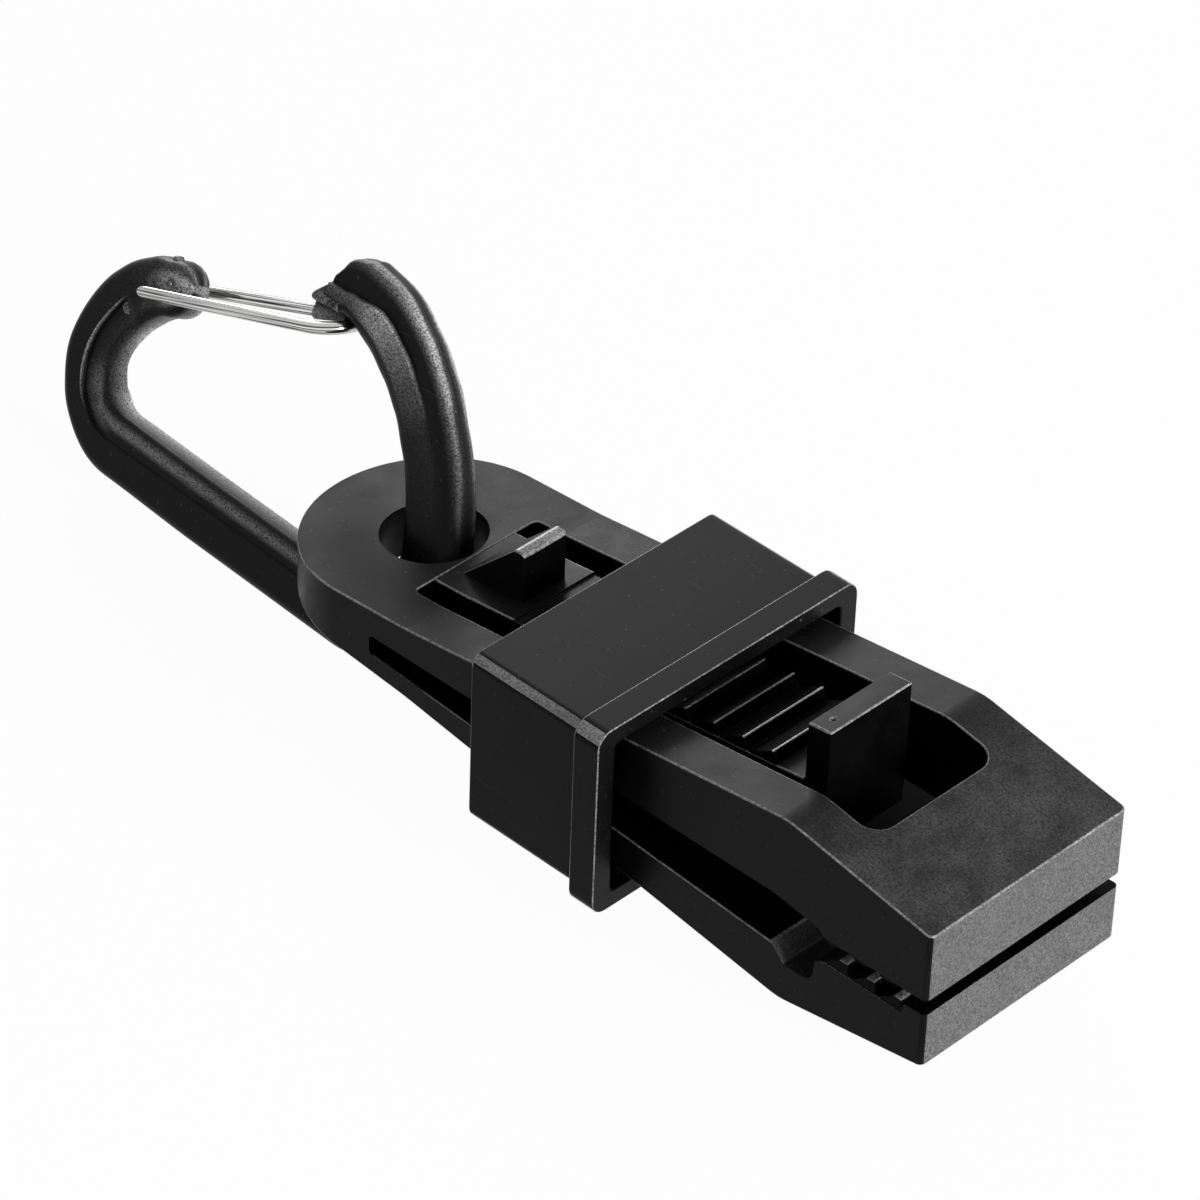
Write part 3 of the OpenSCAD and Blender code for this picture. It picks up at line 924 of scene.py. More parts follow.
@dataclass
class ClampMoulding:
    """Clamp body: eye end, two arms with toothed jaws and, in the upper arm's window, the latch tongue."""

    skins: dict[Skin, Material]
    ribs: RibRow
    half_w: float = 15.0
    eye_end_t: float = 5.3
    eye_hole_r: float = 6.11
    crease_x: float = 11.0
    crease_t: float = 9.3
    crease_r: float = 45.0
    kink_x: float = 67.0
    kink_t: float = 24.0
    kink_r: float = 7.0
    tip_x: float = 87.0
    tip_t: float = 17.3
    tip_r: float = 0.7
    parting_z: float = -0.75
    mouth_gap: float = 1.9
    slot_r: float = 1.4
    slot_x: float = 5.4
    slot_lift: float = 0.3
    gap_end_x: float = 65.6
    upper_rise: float = 0.8
    lower_fall: float = 3.0
    flex_x: float = 8.0
    flex_l: float = 6.0
    teeth_x: float = 72.8
    teeth_end_x: float = 84.05
    tooth_pitch: float = 3.75
    tooth_count: int = 3
    lower_tooth_h: float = 1.6
    upper_tooth_h: float = 0.45
    groove_z: float = -7.1
    groove_front: Point = (1.3, 2.0)
    groove_back: Point = (5.4, 1.9)
    shelf: Point = (6.0, 1.05)
    window_x: float = 74.0
    window_back: float = 6.5
    window_half: float = 9.3
    window_r: float = 2.6
    window_back_r: float = 0.8
    tongue_half: float = 6.2
    tongue_drop: float = 0.1
    heel_x: float = 18.6
    heel_end: float = 26.5
    heel_drop: float = 0.4
    crest_drop: float = 0.75
    ratchet_h: float = 1.5
    ratchet_pitch: float = 4.2
    ratchet_count: int = 7
    rack_x: float = 27.85
    tongue_t: float = 2.5
    wedge_x: float = 17.0
    wedge_half: float = 3.25
    wedge_h: float = 6.4
    wedge_top_l: float = 1.3
    wedge_lap: float = 0.05
    block_x: float = 61.2
    block_l: float = 3.2
    block_h: float = 5.25
    block_z: float = 0.99
    edge: float = 0.17
    skirt_x: float = 44.0
    skirt_l: float = 6.0
    skirt_t: float = 1.2
    skirt_drop: float = 0.9
    skirt_sunk: float = 0.5
    spare: float = 1.0
    upper_lip_h: float = 0.25
    lower_lip_h: float = 0.2
    tooth_sunk: float = 0.6
    tooth_gap: float = 0.1
    tooth_edge: float = 0.12
    side_play: float = 0.06
    tongue_edge: float = 0.2
    tongue_flex: float = 3.5
    dimple_y: float = -4.0
    grain_back: float = 1.0
    grain_z: float = 5.0
    shelf_back: float = 5.2
    side_in: float = 0.6
    hollow_in: float = 1.0
    skin_play: float = 0.25
    eye_play: float = 0.1
    long_edge: float = 5.0
    crest_l: float = 1.6

    @property
    def upper_tip(self) -> float:
        """Height of the upper jaw's lip."""
        return self.parting_z + self.mouth_gap / 2

    @property
    def lower_tip(self) -> float:
        """Height of the lower jaw's lip."""
        return self.parting_z - self.mouth_gap / 2

    def half_t(self, x: float) -> float:
        """Half the thickness of the body.

        Args:
            x: Place along X.

        Returns:
            Half the thickness there.
        """
        if x < self.crease_x:
            share = (x + self.half_w) / (self.crease_x + self.half_w)
            return (self.eye_end_t + (self.crease_t - self.eye_end_t) * share) / 2
        if x <= self.kink_x:
            share = (x - self.crease_x) / (self.kink_x - self.crease_x)
            return (self.crease_t + (self.kink_t - self.crease_t) * share) / 2
        share = (x - self.kink_x) / (self.tip_x - self.kink_x)
        return (self.kink_t + (self.tip_t - self.kink_t) * share) / 2

    def upper_in(self, x: float) -> float:
        """Height of the upper arm's inner face at a place along X."""
        start = self.slot_x + self.slot_r
        return self.parting_z + self.slot_r + self.upper_rise * (x - start) / (self.gap_end_x - start)

    def lower_in(self, x: float) -> float:
        """Height of the lower arm's inner face at a place along X."""
        start = self.slot_x + self.slot_r
        return self.parting_z - self.slot_r - self.lower_fall * (x - start) / (self.gap_end_x - start)

    def side_outline(self) -> list[Point]:
        """Outline of the body seen from the side, without the teeth.

        Returns:
            Points along X and Z.
        """
        past, behind = self.tip_x + self.spare, -self.half_w - self.spare
        upper_root = self.upper_tip - self.upper_lip_h
        lower_root = self.lower_tip - self.lower_tooth_h
        end, low, high = self.gap_end_x, self.lower_in(self.gap_end_x), self.upper_in(self.gap_end_x)
        return rounded(
            [
                Corner(behind, -self.half_t(behind)),
                Corner(self.crease_x, -self.half_t(self.crease_x), self.crease_r),
                Corner(self.kink_x, -self.kink_t / 2, self.kink_r),
                Corner(past, -self.half_t(past)),
                Corner(past, self.lower_tip),
                Corner(self.teeth_end_x, self.lower_tip - self.lower_lip_h, 0.3),
                Corner(self.teeth_end_x - 0.3, lower_root, 0.3),
                Corner(self.teeth_x, lower_root, 0.5),
                Corner(self.teeth_x - 1.0, lower_root - 0.6, 0.5),
                Corner(self.teeth_x - self.groove_front[0], self.groove_z, self.groove_front[1]),
                Corner(self.teeth_x - self.groove_back[0], self.groove_z, self.groove_back[1]),
                Corner(self.teeth_x - self.shelf[0], low - self.shelf[1], 0.25),
                Corner(end, low),
                Corner(self.slot_x, self.parting_z - self.slot_r + self.slot_lift, 0.6),
                Corner(self.slot_x, self.parting_z + self.slot_r, 0.6),
                Corner(end, high, 4),
                Corner(self.teeth_x - 0.9, high - 0.8, 0.4),
                Corner(self.teeth_x, upper_root, 0.4),
                Corner(self.teeth_end_x, upper_root, 0.4),
                Corner(past, self.upper_tip),
                Corner(past, self.half_t(past)),
                Corner(self.kink_x, self.kink_t / 2, self.kink_r),
                Corner(self.crease_x, self.half_t(self.crease_x), self.crease_r),
                Corner(behind, self.half_t(behind)),
            ]
        )

    def plan_outline(self) -> list[Point]:
        """Outline of the body seen from above: a round eye end and two slightly rounded tips.

        Returns:
            Points along X and Y.
        """
        w, x, r = self.half_w, self.tip_x, self.tip_r
        turns = [math.pi * (0.5 + k / 60) for k in range(61)]
        tips = rounded([Corner(0, -w), Corner(x, -w, r), Corner(x, w, r), Corner(0, w)])
        return tips[1:-1] + [(w * math.cos(t), w * math.sin(t)) for t in turns]

    def window_outline(self) -> list[Point]:
        """Outline of the window in the upper arm.

        Returns:
            Points along X and Y.
        """
        w = self.window_half
        return rounded(
            [
                Corner(self.window_back, -w, self.window_back_r),
                Corner(self.window_x, -w, self.window_r),
                Corner(self.window_x, w, self.window_r),
                Corner(self.window_back, w, self.window_back_r),
            ]
        )

    def whole_blank(self) -> Blank:
        """Makes the eye end and both arms in one, with the eye and the window cut and the edges rounded.

        Returns:
            The blank.
        """
        tall = self.kink_t
        plan = prism(self.plan_outline(), -tall, tall, Axis.UP)
        eye = drum([(-tall, self.eye_hole_r), (tall, self.eye_hole_r)])
        window = prism(self.window_outline(), self.parting_z, tall, Axis.UP)
        body = bar("clamp", self.side_outline(), self.half_w + self.spare)
        body.combine(Blank("plan", plan), Cut.KEEP_COMMON)
        body.combine(Blank("eye", eye), Cut.TAKE_AWAY)
        body.combine(Blank("window", window), Cut.TAKE_AWAY)
        for low in (self.window_half, -self.window_half - self.skirt_t):
            skirt = prism(self.skirt_outline(), low, low + self.skirt_t, Axis.ACROSS)
            body.combine(Blank("skirt", skirt), Cut.JOIN)
        return body.round_edges(self.edge, chosen=self.outer_edge)

    def skirt_outline(self) -> list[Point]:
        """Outline of the ribs that hang along the window's sides, down to the land of the upper teeth.

        Returns:
            Points along X and Z.
        """
        back, middle, front = self.skirt_x, self.gap_end_x, self.teeth_x + 0.3
        low, land = back + self.skirt_l, self.upper_tip - 0.2
        return [
            (back, self.upper_in(back) + self.skirt_sunk),
            (low, self.upper_in(low) - self.skirt_drop),
            (middle, self.upper_in(middle) - self.skirt_drop),
            (front, land),
            (front, land + 2),
            (middle, self.upper_in(middle) + self.skirt_sunk),
        ]

    def outer_edge(self, one: Vector, two: Vector) -> bool:
        """Tells whether an edge is rounded.

        Args:
            one: One end of the edge.
            two: Its other end.

        Returns:
            Whether it lies on the outside of the body or is a long edge of the gap between the arms.
        """
        ends = one, two
        on_skin = all(abs(abs(end.z) - self.half_t(end.x)) < self.skin_play for end in ends)
        round_eye = all(math.hypot(end.x, end.y) < self.eye_hole_r + self.eye_play for end in ends)
        return (on_skin and not round_eye) or (one - two).length > self.long_edge

    def skin_of(self, middle: Vector, normal: Vector) -> Skin:
        """Finish of a face: grained tapers, a lighter grain with painted highlight on the tips and on the
        facet behind the lower teeth, the darkest copy with painted shade deep between the arms, a darker copy
        with painted shade on sides and undersides, satin elsewhere.

        Args:
            middle: Middle of the face.
            normal: Its normal.

        Returns:
            The finish.
        """
        # Tips facing the right lamp get the lighter grain copy: painted highlight on real grain.
        if middle.x > self.kink_x and normal.x > STRAIGHT_ON:
            return Skin.TIP
        on_taper = middle.x > self.kink_x - self.grain_back and abs(middle.z) > self.grain_z
        if on_taper and abs(normal.z) > STRAIGHT_ON:
            return Skin.GRAINED
        # The facet behind the lower teeth, under the upper jaw, gets the lighter grain copy: painted light.
        on_shelf = self.gap_end_x < middle.x < self.teeth_x - self.shelf_back
        if on_shelf and normal.x > TILTED and normal.z > TILTED:
            return Skin.TIP
        # Faces deep between the arms and in the window get the darkest copy: painted shade.
        on_side = abs(middle.y) > self.half_w - self.side_in
        deep = abs(middle.z) < self.half_t(middle.x) - self.hollow_in
        if deep and not on_side and middle.x > self.slot_x:
            return Skin.SHADED_HOLLOW
        # Sides, downward faces and the lower half get the darker copy: painted shade.
        if abs(normal.y) > HALFWAY or normal.z < TILTED or middle.z < 0:
            return Skin.POLISHED_SHADED
        return Skin.SATIN

    def dressing(self, body: Body, node: str | None) -> Dressing:
        """Dressing of one of the clamp's pieces."""
        return Dressing(self.skins, Slot.CLAMP, body, node)

    def build_body(self) -> None:
        """Builds the eye end and the two arms, parted where the moulding flexes."""
        whole = self.whole_blank()
        tail = Blank("clamp_tail_moulding", whole.part(self.flex_x, front=False))
        lower, upper = loose_parts(whole.part(self.flex_x, front=True))
        whole.scrap()
        self.dressing(Body.TAIL, "clamp_tail").dress(tail, self.skin_of)
        bend = stretch(self.flex_x, self.flex_l)
        folds = [self.flex_x + self.flex_l * k / 8 for k in range(1, 9)]
        for name, shape, body, node in (
            ("upper_arm_moulding", upper, Body.UPPER_ARM, "upper_jaw"),
            ("lower_arm_moulding", lower, Body.LOWER_ARM, "lower_jaw"),
        ):
            self.dressing(body, node).dress(Blank(name, shape).lengthen(folds), self.skin_of, bend)

    @staticmethod
    def rib_skin(middle: Vector, normal: Vector) -> Skin:
        """Finish of a rib's face: painted highlight on the crest, painted shade on the flanks."""
        crest = abs(normal.z) > 0.55 and -0.3 < normal.x < 0.75
        return Skin.EDGE if crest else Skin.SHADED_HOLLOW

    def rib_row(
        self, name: str, outline: list[Point], half: float, count: int, step: Vector, body: Body
    ) -> None:
        """Builds a row of ribs on one of the arms or on the tongue.

        Args:
            name: Name of the piece.
            outline: Side outline of the first rib.
            half: Half the width of a rib.
            count: Number of ribs.
            step: Way from one rib to the next.
            body: Body that carries the row.
        """
        rib = bar(name, outline, half).round_edges(self.tooth_edge, 50)
        row = self.ribs.run(rib, {"Count": count, "Step": step, "Finish": self.skins[Skin.POLISHED_SHADED]})
        self.dressing(body, None).dress(row, self.rib_skin)

    def build_teeth(self) -> None:
        """Builds the teeth of both jaws."""
        x, p, sunk = self.teeth_x, self.tooth_pitch, self.tooth_sunk
        half, end = self.half_w - self.side_play, x + p - self.tooth_gap
        root, h = self.lower_tip - self.lower_tooth_h, self.lower_tooth_h
        lower = [
            Corner(x, root - sunk),
            Corner(end, root - sunk),
            Corner(end, root),
            Corner(x + 0.9 * p, root + h, 0.35),
            Corner(x + 0.62 * p, root + h, 0.6),
            Corner(x, root),
        ]
        step, count = Vector((p, 0, 0)), self.tooth_count
        self.rib_row("lower_jaw_teeth", rounded(lower), half, count, step, Body.LOWER_ARM)
        root, h = self.upper_tip - self.upper_lip_h, self.upper_tooth_h
        upper = [
            Corner(x, root + sunk),
            Corner(x, root),
            Corner(x + 0.1 * p, root - h, 0.25),
            Corner(x + 0.4 * p, root - h, 0.5),
            Corner(end, root),
            Corner(end, root + sunk),
        ]
        self.rib_row("upper_jaw_teeth", rounded(upper), half, count, step, Body.UPPER_ARM)

    def build_tongue(self) -> None:
        """Builds the latch tongue with its wedge, its release block and its ratchet."""
        top, root_drop = self.half_t, self.crest_drop + self.ratchet_h
        back, heel = self.window_back - 0.5, self.wedge_x + 3
        front = self.block_x + self.block_l
        belly = root_drop + self.tongue_t

        def under(x: float, drop: float, r: float = 0.0) -> Corner:
            """Corner at a depth under the arm's top."""
            return Corner(x, top(x) - drop, r)

        side = [
            Corner(back, self.upper_in(back) + 0.3),
            Corner(self.window_back + 0.4, self.upper_in(self.window_back)),
            under(heel, belly, 20),
            under(self.block_x, belly, 1.2),
            Corner(self.block_x, self.block_z, 0.4),
            Corner(front, self.block_z, 0.4),
            under(front, -self.block_h),
            under(self.block_x, -self.block_h),
            under(self.block_x, root_drop, 0.5),
            under(self.heel_end, root_drop, 0.4),
            under(self.heel_end, self.heel_drop, 0.2),
            under(self.heel_x, self.heel_drop, 0.1),
            under(self.heel_x, self.tongue_drop, 0.1),
            under(self.crease_x, self.tongue_drop, 30),
            under(back, self.tongue_drop),
        ]
        tongue = bar("latch_tongue_moulding", rounded(side), self.tongue_half)
        foot, face = self.window_back + 1.0, self.wedge_x + self.wedge_lap
        crest = top(self.wedge_x) + self.wedge_h
        wedge = [
            under(foot, self.tongue_drop + 0.3),
            Corner(self.wedge_x - self.wedge_top_l, crest, 0.8),
            Corner(face, crest - 0.1, 0.6),
            Corner(face, top(self.wedge_x) - root_drop),
        ]
        tongue.combine(bar("wedge", rounded(wedge), self.wedge_half), Cut.JOIN)
        dimple, x = drum([(-0.2, 0.25), (0.3, 0.4)], 16), self.block_x + self.block_l / 2
        spot = Matrix.Translation((x, self.dimple_y, top(x) + self.block_h))
        bmesh.ops.transform(dimple, matrix=spot, verts=dimple.verts)
        tongue.combine(Blank("dimple", dimple), Cut.TAKE_AWAY)
        tongue.round_edges(self.tongue_edge)
        tongue.lengthen([self.window_back + self.tongue_flex * k / 7 for k in range(1, 8)])

        def skin_of(middle: Vector, normal: Vector) -> Skin:
            """Finish of a face of the tongue: satin tops, a painted highlight on the wedge's crest, and
            darker copies with painted shade on the wedge's sides and on faces that do not look up.

            Args:
                middle: Middle of the face.
                normal: Its normal.

            Returns:
                The finish.
            """
            on_wedge = middle.z > top(middle.x) and middle.x < self.wedge_x + 1
            if on_wedge and normal.z > 0.2:
                return Skin.EDGE if middle.x > self.wedge_x - self.crest_l else Skin.SATIN
            if on_wedge and abs(normal.y) > HALFWAY:
                return Skin.POLISHED_SHADED
            return Skin.SATIN if normal.z > HALFWAY else Skin.SHADED_HOLLOW

        bend = stretch(self.window_back, self.tongue_flex)
        self.dressing(Body.TONGUE, "latch_tongue").dress(tongue, skin_of, bend)

    def build_ratchet(self) -> None:
        """Builds the ratchet teeth on the tongue, which climb with the arm."""
        x, p, h, sunk = self.rack_x, self.ratchet_pitch, self.ratchet_h, self.tooth_sunk
        base, climb = self.half_t(x) - self.crest_drop - h, self.half_t(x + p) - self.half_t(x)
        tooth = [
            Corner(x, base - sunk),
            Corner(x + p, base - sunk + climb),
            Corner(x + p, base + climb),
            Corner(x + 0.86 * p, base + h + 0.86 * climb, 0.22),
            Corner(x + 0.8 * p, base + h + 0.8 * climb, 0.3),
            Corner(x + 0.02 * p, base + 0.02 * climb, 0.1),
        ]
        self.rib_row(
            "ratchet_teeth",
            rounded(tooth),
            self.tongue_half - 0.05,
            self.ratchet_count,
            Vector((p, 0, climb)),
            Body.TONGUE,
        )

    def build(self) -> None:
        """Builds all pieces of the clamp body."""
        self.build_body()
        self.build_teeth()
        self.build_tongue()
        self.build_ratchet()


@dataclass
class LockCollar:
    """Sleeve with a rim round its front and a pawl inside its top wall."""

    skins: dict[Skin, Material]
    x: float = 24.6
    length: float = 20.0
    half_w: float = 18.6
    half_h: float = 11.118
    side_wall: float = 1.5
    flat_wall: float = 1.05
    inside_in: float = 0.5
    drop: float = 0.2
    corner_r: float = 1.4
    rim_l: float = 3.7
    rim_h: float = 1.15
    pawl_half: float = 5.7
    pawl_l: float = 1.6
    pawl_z: float = 8.95
    pawl_sunk: float = 0.4

    SIDEWAYS: ClassVar[float] = 0.97
    OFF_FRONT: ClassVar[float] = 0.2
    ROUND: ClassVar[Point] = (0.42, 0.92)

    def ring(self, x: float, grow: float) -> list[Vector]:
        """Ring round the sleeve.

        Args:
            x: Place along the sleeve.
            grow: Height over the outside, or less than 0, down to -1 at the inside.

        Returns:
            Points of the ring.
        """
        inward = max(0.0, -grow)
        outward = max(0.0, grow)
        w = self.half_w + outward - inward * self.side_wall
        h = self.half_h + outward - inward * self.flat_wall
        r = self.corner_r + 0.5 * outward - inward * self.corner_r / 2
        return [Vector((x, y, z - self.drop)) for y, z in round_box(w, h, (r, r), 8)]

    def build(self) -> None:
        """Builds the collar and its pawl."""
        front, rim = self.x + self.length, self.x + self.length - self.rim_l
        wall = rounded(
            [
                Corner(self.x, 0, 0.3),
                Corner(rim, 0, 0.3),
                Corner(rim, self.rim_h, 0.3),
                Corner(front, self.rim_h, 0.18),
                Corner(front, -1, 0.2),
                Corner(self.x, -1, 0.2),
            ],
            20,
        )
        sleeve = loft([self.ring(x, grow) for x, grow in wall], closed=True)
        roof = self.half_h - self.flat_wall - self.drop
        pawl = [
            Corner(rim, roof + self.pawl_sunk),
            Corner(rim, self.pawl_z, 0.2),
            Corner(rim + self.pawl_l / 2, self.pawl_z, 0.2),
            Corner(rim + 1.5 * self.pawl_l, roof + self.pawl_sunk),
        ]
        tooth = bar("pawl", rounded(pawl), self.pawl_half)
        sleeve.from_mesh(tooth.obj.data)
        tooth.scrap()
        collar = Blank("lock_collar_moulding", sleeve)
        Dressing(self.skins, Slot.COLLAR, Body.COLLAR, "lock_collar").dress(collar, self.skin_of)

    def skin_of(self, middle: Vector, normal: Vector) -> Skin:
        """Finish of a face: a darker copy with painted shade on the sides, the underside and the inside,
        satin top, front and back, and a painted highlight on the rounds in between.

        Args:
            middle: Middle of the face.
            normal: Its normal.

        Returns:
            The finish.
        """
        if abs(normal.y) > self.SIDEWAYS or normal.z < -HALFWAY:
            return Skin.POLISHED_SHADED
        in_width = abs(middle.y) < self.half_w - self.side_wall / 2
        if in_width and abs(middle.z + self.drop) < self.half_h - self.inside_in:
            return Skin.POLISHED_SHADED
        if abs(normal.x) > self.OFF_FRONT:
            return Skin.SATIN if abs(normal.x) > STRAIGHT_ON else Skin.EDGE
        if self.ROUND[0] < abs(normal.y) < self.ROUND[1]:
            return Skin.EDGE
        return Skin.SATIN if normal.z > HALFWAY else Skin.POLISHED_SHADED


def unit(value: float) -> float:
    """Value held between 0 and 1."""
    return min(1.0, max(0.0, value))


@dataclass(frozen=True)
class Section:
    """Section of the carabiner, with a recess along both of its sides.

    Reaches run from the middle line: away from the loop is positive.

    Attributes:
        inner: Reach of the section towards the loop.
        outer: Reach of the section away from the loop.
        inner_r: Radius of the edges towards the loop.
        outer_r: Radius of the edges away from the loop.
        depth: Depth of the recess.
        floor_in: Where the recess starts.
        floor_out: Where it ends.
        soft_in: Width of the slope at its start.
        soft_out: Width of the slope at its end.
        edge_highlight: Painted highlight on the edge towards the loop.
        ridge_highlight: Painted highlight on the ridge next to that edge.
        flange_highlight: Painted highlight on the flange between that edge and the recess.
        outer_highlight: Painted highlight along the round outer flange.
        step_highlight: Painted highlight on the step at the end of the recess.
        far_cut: How much the far edge towards the loop is cut back, to clear the eye or the gate.
    """

    inner: float
    outer: float
    inner_r: float
    outer_r: float
    depth: float
    floor_in: float
    floor_out: float
    soft_in: float
    soft_out: float
    edge_highlight: float = 0.0
    ridge_highlight: float = 0.0
    flange_highlight: float = 0.0
    outer_highlight: float = 0.0
    step_highlight: float = 0.0
    far_cut: float = 0.0

    STEP_W: ClassVar[float] = 0.1
    RIDGE_AT: ClassVar[float] = 1.2
    RIDGE_W: ClassVar[float] = 0.95
    FLANGE_AT: ClassVar[float] = 0.85
    OUTER_AT: ClassVar[float] = 0.65
    OUTER_W: ClassVar[float] = 0.7
    OUTER_LEAST: ClassVar[float] = 0.3
    ARC_STEPS: ClassVar[int] = 7
    SLOPE_STEPS: ClassVar[int] = 6

    def mixed(self, other: "Section", share: float) -> "Section":
        """Mixes this section with another, eased.

        Args:
            other: The other section.
            share: How far the place is towards it, from 0 to 1.

        Returns:
            The section there.
        """
        ease = share * share * (3 - 2 * share)
        pairs = zip(astuple(self), astuple(other))
        return Section(*(one + (two - one) * ease for one, two in pairs))

    def height(self, q: float, half_t: float) -> float:
        """Height of the side over the middle plane at a reach.

        Args:
            q: The reach.
            half_t: Half the thickness of the section.

        Returns:
            The height.
        """
        top = half_t
        for gap, r in ((q + self.inner, self.inner_r), (self.outer - q, self.outer_r)):
            if gap < r:
                top = min(top, half_t - r + math.sqrt(max(0.0, r * r - (r - gap) ** 2)))
        into = unit((q - self.floor_in) / self.soft_in + 0.5)
        out = unit((self.floor_out - q) / self.soft_out + 0.5)
        return top - self.depth * into * into * (3 - 2 * into) * out * out * (3 - 2 * out)

    def painted_highlight(self, q: float, n: float, half_t: float) -> float:
        """Painted highlight at a point of the outline, on the rounds, ridge, flange and step that catch the
        light, stronger on the far side of the edge towards the loop, which the light from behind reaches.

        Args:
            q: Reach of the point.
            n: Its height over the middle plane.
            half_t: Half the thickness of the section.

        Returns:
            The painted highlight, from 0 to 1.
        """
        # Each term lightens the colour where the light catches a round or a step: painted highlight.
        into = q + self.inner
        edge = max(0.0, 1 - into / self.inner_r) * (1 - n / half_t) ** 2
        ridge = max(0.0, 1 - abs(into - self.RIDGE_AT * self.inner_r) / self.RIDGE_W)
        flange = unit((self.floor_in - q) / self.soft_in + 0.5)
        flange *= unit(2 * (into - self.FLANGE_AT * self.inner_r))
        off_crest = abs(half_t - self.OUTER_AT * self.outer_r - abs(n))
        least = self.OUTER_LEAST * (abs(n) > half_t - self.outer_r)
        outer = max(least, 1 - off_crest / self.OUTER_W)
        outer *= unit((q - self.floor_out) / self.soft_out + 0.5)
        step = max(0.0, 1 - abs(q - self.floor_out - self.soft_out / 2) / self.STEP_W)
        total = self.edge_highlight * edge + self.ridge_highlight * ridge + self.flange_highlight * flange
        return min(1.0, (total + self.outer_highlight * outer + self.step_highlight * step) / 2)

    def outline(self, half_t: float) -> list[Point]:
        """Closed outline as reach and height.

        Args:
            half_t: Half the thickness of the section.

        Returns:
            Points of the outline, always equally many.
        """
        reaches = []
        for k in range(self.ARC_STEPS):
            away = 1 - math.cos(math.pi / 2 * k / (self.ARC_STEPS - 1))
            reaches += [self.inner_r * away - self.inner, self.outer - self.outer_r * away]
        for k in range(self.SLOPE_STEPS):
            share = k / (self.SLOPE_STEPS - 1) - 0.5
            reaches += [self.floor_in + share * self.soft_in, self.floor_out + share * self.soft_out]
        for side in (-1, 1):
            reaches.append(self.floor_out + side * (self.soft_out / 2 + self.STEP_W))
        inside = sorted(min(self.outer, max(-self.inner, q)) for q in reaches)
        side = [(q, self.height(q, half_t)) for q in inside]
        cut = self.far_cut / (half_t * self.inner)
        far = [(q - cut * n * min(0.0, q), -n) for q, n in reversed(side)]
        return [(-self.inner, 0.0), *side, (self.outer, 0.0), *far]


@dataclass(frozen=True)
class Station:
    """Place along the carabiner's middle line, the direction away from the loop and the section there."""

    middle: Vector
    outward: Vector
    section: Section


SectionKeys = Sequence[tuple[float, Section]]


@dataclass(frozen=True)
class Boss:
    """Small round boss on the carabiner: its place, radius, ends over the middle plane and painted highlight.
    """

    u: float
    v: float
    r: float
    low: float
    high: float
    painted_highlight: float


